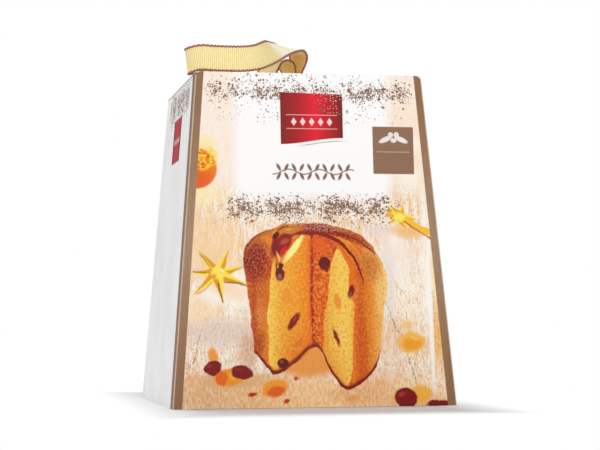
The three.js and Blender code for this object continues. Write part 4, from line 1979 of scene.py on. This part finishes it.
@dataclass
class Clip:
    """The folded steel channel that the ribbon's two ends are pressed in."""

    middle: float = 0.0048
    width: float = 0.0068
    length: float = 0.026
    low: float = 0.2366
    high: float = 0.2434
    wall: float = 0.0008
    press: float = 0.94

    def build(self) -> Piece:
        """Fold the channel and press a shallow panel in each side.

        Returns:
            The clip.
        """
        w, l = self.width / 2, self.length / 2
        clip = cube("steel_clip", (self.middle - w, -l, self.low), (self.middle + w, l, self.high))
        with editing(clip):
            pick(Part.FACE, lambda c, n: n.z > 0.9 or abs(n.y) > 0.9)
            bpy.ops.mesh.delete(type="ONLY_FACE")
            pick(Part.FACE, lambda c, n: abs(n.x) > 0.9)
            bpy.ops.mesh.inset(thickness=0.0013, use_individual=True)
            pick(Part.FACE, lambda c, n: abs(n.x) > 0.9 and abs(c.y) < 0.001
                 and abs(c.z - (self.low + self.high) / 2) < 0.0005)
            resize(self.press, 1, (self.middle, 0, 0))
            pick(Part.EDGE, lambda c, d: abs(d.y) > 0.9 and c.z < self.low + 1e-5)
            bevel(0.0011, 4)
        modify(clip, "SOLIDIFY", thickness=self.wall, offset=-1, use_even_offset=True)
        modify(clip, "BEVEL", width=0.00012, segments=2, limit_method="ANGLE")
        smooth(clip, 30)
        dress(clip, Steel().build())
        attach(clip, "lid")
        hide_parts("ribbon_clip")
        return clip


class Flaps:
    """The flat flaps that keep their CAD shape and get their board finish."""

    NAMES: tuple[str, ...] = (
        "glue_flap", "bottom_flap_outer", "bottom_flap_inner", "bottom_side_flap_left",
        "bottom_side_flap_right", "dust_flap_left", "dust_flap_right")

    def build(self) -> list[Piece]:
        """Dress every flap.

        Returns:
            The flaps.
        """
        finish = PlainBoard("flap_board").build()
        flaps = [bpy.data.objects[name] for name in self.NAMES]
        for flap in flaps:
            for slot in flap.material_slots:
                slot.material = finish
        return flaps


@dataclass(frozen=True)
class Crust:
    """The baked cake: dark glazed dome, lighter sides, pores darkened as painted shade, and sugar."""

    def build(self) -> Material:
        """Colour by height and by how far each place has browned.

        Returns:
            The material.
        """
        g = Graph("cake_crust")
        here = g.place()
        _, _, z = g.split(here)
        cloud = g.noise(here, 22.0, 4.0, 0.6, flat=False)
        fine = g.noise(here, 340.0, 3.0, 0.65, flat=False)
        height = (z - 0.1 + (cloud - 0.5) * 0.035) * (1 / 0.075)
        colour = g.ramp(height, ((0.0, ink(214, 142, 70)), (0.25, ink(190, 108, 52)),
                                 (0.6, ink(150, 74, 38)), (1.0, ink(118, 52, 30))))
        colour = g.mix(colour, ink(232, 176, 104), fine.above(0.6, 0.06) * 0.4)
        pores = g.cells(here, 330.0, flat=False).below(0.2, 0.12)
        # The pores are painted darker as shade in their small hollows.
        colour = g.mix(colour, ink(92, 42, 24), pores * 0.5)
        rough = cloud.fit(0.35, 0.3)
        lift = cloud * 1.2 + fine * 0.5 - pores * 0.4
        return g.finish(g.surface(colour, rough, Normal=g.bump(lift, 0.6, 0.0012), Coat_Weight=0.2,
                            Coat_Roughness=0.3))


@dataclass(frozen=True)
class MouldPaper:
    """Brown baking paper, corrugated, with plain gold rules."""

    def build(self) -> Material:
        """Paper fibres, two rules and a row of lozenges between them.

        Returns:
            The material.
        """
        g = Graph("mould_paper")
        here = g.place()
        x, y, z = g.split(here)
        turn = g.math("ARCTAN2", y, x) * (48 / math.tau)
        fibre = g.noise(g.moved(here, (900.0, 900.0, 300.0)), 1.0, 3.0, 0.6, flat=False)
        colour = g.mix(ink(122, 76, 44), ink(146, 94, 58), fibre.above(0.5, 0.2))
        step = g.math("PINGPONG", turn, 0.5)
        lozenge = (step * 2.0 + abs(z - 0.097) * (1 / 0.0045)).below(0.8, 0.12)
        rules = abs(abs(z - 0.097) - 0.0085).below(0.0006, 0.0003)
        colour = g.mix(colour, ink(206, 164, 92), g.math("MAXIMUM", lozenge, rules))
        stain = g.noise(here, 18.0, 3.0, flat=False).above(0.56, 0.12)
        colour = g.mix(colour, ink(96, 58, 34), stain * 0.4)
        return g.finish(g.surface(colour, 0.72, Normal=g.bump(fibre, 0.3, 0.0003)))


@dataclass(frozen=True)
class Film:
    """Clear crackly film: it shows mostly as creases and glints."""

    def build(self) -> Material:
        """Nearly clear, cloudier along the creases.

        Returns:
            The material.
        """
        g = Graph("clear_film")
        here = g.place()
        crease = g.noise(g.moved(here, (38.0, 38.0, 22.0)), 1.0, 4.0, 0.62, flat=False)
        ridge = abs(crease - 0.5).below(0.025, 0.05)
        x, y, z = g.split(here)
        spread = g.math("SQRT", y.fit(y, x * x))
        gather = spread.below(0.014, 0.012) * z.above(0.18, 0.004)
        alpha = gather.fit(0.4, ridge.fit(0.2, 0.045))
        normal = g.bump(crease * 2.0 + ridge, 0.8, 0.004)
        return g.finish(g.surface(ink(250, 250, 252), 0.12, Alpha=alpha, Normal=normal,
                            Specular_IOR_Level=0.8))


@dataclass(frozen=True)
class GoldTie:
    """Gold foil laminated on a wire."""

    def build(self) -> Material:
        """Metallic foil with fine cross wrinkles.

        Returns:
            The material.
        """
        g = Graph("gold_tie")
        here = g.place()
        wrinkle = g.noise(here, 1400.0, 3.0, 0.6, flat=False)
        colour = g.mix(ink(196, 146, 60), ink(236, 196, 108), wrinkle.above(0.5, 0.2))
        return g.finish(g.surface(colour, wrinkle.fit(0.25, 0.2), Metallic=0.9,
                            Normal=g.bump(wrinkle, 0.5, 0.0002)))


@dataclass
class Contents:
    """The cake in its paper mould, in a clear bag with a tied neck."""

    side: float = 0.0842
    base: float = 0.0058
    mould_radius: float = 0.0854
    mould_wall: float = 0.0008
    mould_low: float = 0.0039
    mould_high: float = 0.1135
    pleats: int = 72
    neck: tuple[float, float] = (0.184, 0.190)

    def build(self) -> list[Piece]:
        """Bake, line and wrap the cake.

        Returns:
            The four pieces.
        """
        pieces = [self.cake(), self.mould(), self.bag(), self.tie()]
        for piece in pieces:
            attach(piece, "carton")
        for slot in bpy.data.objects["mould_base"].material_slots:
            slot.material = pieces[1].data.materials[0]
        return pieces

    def cake(self) -> Piece:
        """The whole cake, with a cross cut in the dome that opened in the oven.

        Returns:
            The cake.
        """
        s = self.side
        shape = [(0.0, self.base), (s - 0.02, self.base), (s - 0.004, self.base),
                 (s - 0.001, self.base + 0.003), (s - 0.0004, self.base + 0.02)]
        shape += [(s - 0.0004, z) for z in (0.045, 0.065, 0.085, 0.1, 0.111)]
        shape += [(s + 0.0022, 0.1165), (s + 0.0036, 0.1215), (s + 0.0038, 0.127),
                  (s + 0.0026, 0.134), (s - 0.001, 0.1415), (s - 0.006, 0.1475),
                  (s - 0.013, 0.1535), (s - 0.022, 0.159), (s - 0.033, 0.1635),
                  (s - 0.045, 0.167), (s - 0.057, 0.1692), (s - 0.069, 0.1705), (0.0, 0.171)]
        cake = turned("whole_cake", shape, 96)
        modify(cake, "SUBSURF", levels=1, render_levels=1)

        def bake(co: Vector) -> Vector:
            """Uneven sides, a bulging rim and the opened cross on top.

            Args:
                co: A place on the cake.

            Returns:
                The new place.
            """
            spread = math.hypot(co.x, co.y)
            rise = max(min((co.z - 0.118) / 0.03, 1.0), 0.0)
            lump = noise.fractal(co * 28, 0.9, 2.0, 4) * 0.0012
            groove = min(abs(co.x - co.y * 0.2), abs(co.y + co.x * 0.2))
            dip = 0.0042 * math.exp(-((groove / 0.006) ** 2)) * rise * min(spread / 0.02, 1.0)
            lip = 0.0014 * math.exp(-(((groove - 0.011) / 0.005) ** 2)) * rise
            if spread > 1e-6:
                k = 1 - max(abs(lump) * 0.8, 0) / spread
                co.x *= k
                co.y *= k
            co.z = min(co.z - dip * (1 if rise else 0) + lip + lump * rise, 0.1722)
            return co

        reshape(cake, bake)
        smooth(cake, 60)
        dress(cake, Crust().build())
        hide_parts("panettone")
        return cake

    def mould(self) -> Piece:
        """The pleated paper wall.

        Returns:
            The paper wall.
        """
        r, w, low, high = self.mould_radius, self.mould_wall, self.mould_low, self.mould_high
        levels = [low + (high - low) * k / 6 for k in range(7)]
        profile = [(r - w - 0.006, low)] + [(r - 0.0004, z) for z in levels]
        profile += [(r - 0.0006, z) for z in reversed(levels[1:])]
        profile += [(r - 0.0006, low + 0.0005), (r - w - 0.006, low + 0.0005)]
        mould = turned("pleated_mould", profile, self.pleats * 5, closed=True)

        def pleat(co: Vector) -> Vector:
            """Corrugate the wall and let its rim wander a little.

            Args:
                co: A place on the wall.

            Returns:
                The new place.
            """
            spread = math.hypot(co.x, co.y)
            turn = math.atan2(co.y, co.x)
            rise = min(max((co.z - low - 0.001) / 0.006, 0.0), 1.0)
            wave = 0.00042 * math.cos(self.pleats * turn) * rise
            k = (spread + wave) / spread
            if co.z > high - 0.002:
                co.z -= 0.0006 * (1 + math.sin(5 * turn + 1.0 + 1.7 * math.sin(3 * turn)))
            return Vector((co.x * k, co.y * k, co.z))

        reshape(mould, pleat)
        smooth(mould, 50)
        dress(mould, MouldPaper().build())
        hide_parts("paper_mould")
        return mould

    def bag(self) -> Piece:
        """The clear bag, gathered at the neck, with a loose skirt above the tie.

        Returns:
            The bag.
        """
        low, high = self.neck
        outside = [(0.0, 0.0029), (0.05, 0.0029), (0.0862, 0.0029), (0.0880, 0.005), (0.0886, 0.03),
                   (0.0888, 0.06), (0.0890, 0.09), (0.0893, 0.112), (0.0905, 0.122),
                   (0.0903, 0.132), (0.0878, 0.145), (0.0845, 0.152), (0.0788, 0.158),
                   (0.072, 0.1635), (0.0638, 0.168), (0.0545, 0.1725), (0.0448, 0.176),
                   (0.035, 0.1787), (0.026, 0.1808), (0.018, 0.1822), (0.0125, 0.1828),
                   (0.0066, low), (0.0066, (low + high) / 2), (0.0066, high), (0.0105, 0.1955),
                   (0.0155, 0.201), (0.0215, 0.2068), (0.028, 0.212), (0.034, 0.2168),
                   (0.0372, 0.2195)]
        bag = turned("film_bag_clear", outside, 192)

        def crumple(co: Vector) -> Vector:
            """Gather the film towards the neck and crease it everywhere.

            Args:
                co: A place on the film.

            Returns:
                The new place.
            """
            spread = math.hypot(co.x, co.y)
            if spread < 1e-6:
                return co
            turn = math.atan2(co.y, co.x)
            near = math.exp(-(((co.z - 0.187) / 0.016) ** 2))
            skirt = max((co.z - high) / 0.03, 0.0)
            folds = math.cos(17 * turn + 1.3 * math.sin(3 * turn)) + 0.5 * math.cos(29 * turn + 2)
            crease = noise.fractal(co * 45, 0.8, 2.0, 4)
            pull = spread * (0.055 * folds * near + 0.1 * folds * min(skirt, 1.0))
            inward = -abs(crease) * 0.0006
            k = (spread + min(pull, 0.004) + inward) / spread
            sag = 0.0016 * crease * (1 if 0.15 < co.z < 0.18 else 0.3 if co.z > 0.1 else 0.0)
            rise = 0.0035 * folds * skirt * 0.4
            return Vector((co.x * k, co.y * k, co.z + min(sag, 0.001) * near + rise))

        reshape(bag, crumple)
        modify(bag, "SOLIDIFY", thickness=0.00012, offset=-1)
        smooth(bag, 60)
        dress(bag, Film().build())
        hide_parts("film_bag")
        return bag

    def tie(self) -> Piece:
        """One turn of gold tie and its twisted ends.

        Returns:
            The tie.
        """
        middle, reach, wire = sum(self.neck) / 2, 0.0084, 0.0009

        def tail(sign: int) -> list[Vector]:
            """One of the two ends, twisted round the other.

            Args:
                sign: Which of the two ends.

            Returns:
                The path.
            """
            return [Vector((reach + 0.020 * t, sign * 0.0012 * math.cos(math.tau * 4 * t),
                            middle + 0.004 * t + sign * 0.0012 * math.sin(math.tau * 4 * t)))
                    for t in (k / 60 for k in range(61))]

        ring = [Vector((reach * math.cos(a), reach * math.sin(a), middle))
                for a in (math.tau * k / 80 for k in range(1, 80))]
        tie = tube("gold_tie", [*reversed(tail(1)), *ring, *tail(-1)], wire, 8)
        dress(tie, GoldTie().build())
        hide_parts("bag_tie")
        return tie


# ---- studio ----
@dataclass
class Studio:
    """Floor, lamps, world and camera."""

    eye: tuple[float, float, float] = (-0.2549, -1.3490, 0.0647)
    yaw: float = math.radians(11.06)
    pitch: float = math.radians(3.10)
    roll: float = math.radians(-0.33)
    lens: float = 103.89
    beside: float = 0.112
    before: float = 0.2

    def build(self) -> None:
        """Set the whole studio up."""
        scene = bpy.context.scene
        scene.view_settings.view_transform = "Standard"
        scene.view_settings.look = "None"
        self.camera(scene)
        self.world(scene)
        self.floor()
        self.lamp("key", (0.2, -2.9, 1.3), (0, 0, 0.12), 1.4, 23.5)
        self.lamp("back", (-0.9, 1.3, 2.6), (0, 0, 0.1), 1.1, 20.0)

    def camera(self, scene: bpy.types.Scene) -> None:
        """Look at the front and the left side from a little below the middle.

        Args:
            scene: The scene.
        """
        data = bpy.data.cameras.new("camera")
        data.lens = self.lens
        data.sensor_width = 36.0
        data.clip_start = 0.01
        data.dof.use_dof = False
        camera = bpy.data.objects.new("camera", data)
        scene.collection.objects.link(camera)
        ahead = Vector((math.sin(self.yaw) * math.cos(self.pitch),
                        math.cos(self.yaw) * math.cos(self.pitch), math.sin(self.pitch)))
        right = Vector((math.cos(self.yaw), -math.sin(self.yaw), 0))
        up = right.cross(ahead)
        c, s = math.cos(self.roll), math.sin(self.roll)
        right, up = right * c + up * s, up * c - right * s
        turn = Matrix((right, up, -ahead)).transposed().to_4x4()
        camera.matrix_world = Matrix.Translation(Vector(self.eye)) @ turn
        scene.camera = camera

    @staticmethod
    def world(scene: bpy.types.Scene) -> None:
        """Even white light from all round.

        Args:
            scene: The scene.
        """
        world = bpy.data.worlds.new("white_room")
        world.use_nodes = True
        tree = world.node_tree
        background = tree.nodes["Background"]
        background.inputs["Color"].default_value = (1.0, 1.0, 1.0, 1.0)
        seen = tree.nodes.new("ShaderNodeLightPath")
        level = tree.nodes.new("ShaderNodeMapRange")
        level.inputs["To Min"].default_value = 0.64
        level.inputs["To Max"].default_value = 1.0
        tree.links.new(seen.outputs["Is Camera Ray"], level.inputs["Value"])
        tree.links.new(level.outputs["Result"], background.inputs["Strength"])
        scene.world = world

    def floor(self) -> None:
        """A white floor, grey in a band round the carton's base as a painted shadow, that runs into the
        white of the room.
        """
        clear_selection()
        bpy.ops.mesh.primitive_plane_add(size=12.0, location=(0, 0, -0.0002))
        floor = named("floor")
        g = Graph("floor_white")
        x, y, _ = g.split(g.place())
        reach = g.math("MAXIMUM", abs(x) + (self.before - self.beside), abs(y))
        away = reach.above(self.before, 0.045)
        # The grey here is a painted shadow round the carton's base; farther out the floor glows plain
        # white.
        plain = g.surface((0.73, 0.73, 0.75, 1.0), 0.9, Specular_IOR_Level=0.1)
        room = g.node("Emission", None, {"Color": (1.0, 1.0, 1.0, 1.0), "Strength": 1.0}, "Emission")
        dress(floor, g.finish(g.node("MixShader", None, {0: away, 1: plain, 2: room}, "Shader")))

    @staticmethod
    def lamp(name: str, at: Sequence[float], to: Sequence[float], size: float,
             watts: float) -> None:
        """A square soft lamp at a point, facing another.

        Args:
            name: The lamp's name.
            at: Where it stands.
            to: What it faces.
            size: The length of its side.
            watts: Its power.
        """
        data = bpy.data.lights.new(name, "AREA")
        data.shape = "SQUARE"
        data.size = size
        data.energy = watts
        lamp = bpy.data.objects.new(name, data)
        bpy.context.scene.collection.objects.link(lamp)
        lamp.location = at
        lamp.rotation_euler = (Vector(to) - Vector(at)).to_track_quat("-Z", "Y").to_euler()


def main() -> None:
    """Build every piece in order."""
    logging.basicConfig(level=logging.INFO, format="%(name)s: %(message)s")
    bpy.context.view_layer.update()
    Studio().build()
    pieces = [*Ribbon().build(), Walls(SIZE).build(), Lid().build(), Clip().build(),
              *Flaps().build(), *Contents().build()]
    for piece in pieces:
        LOG.info("%s: %d faces", piece.name, len(piece.data.polygons))
    bpy.context.view_layer.update()


if __name__ == "__main__":
    main()
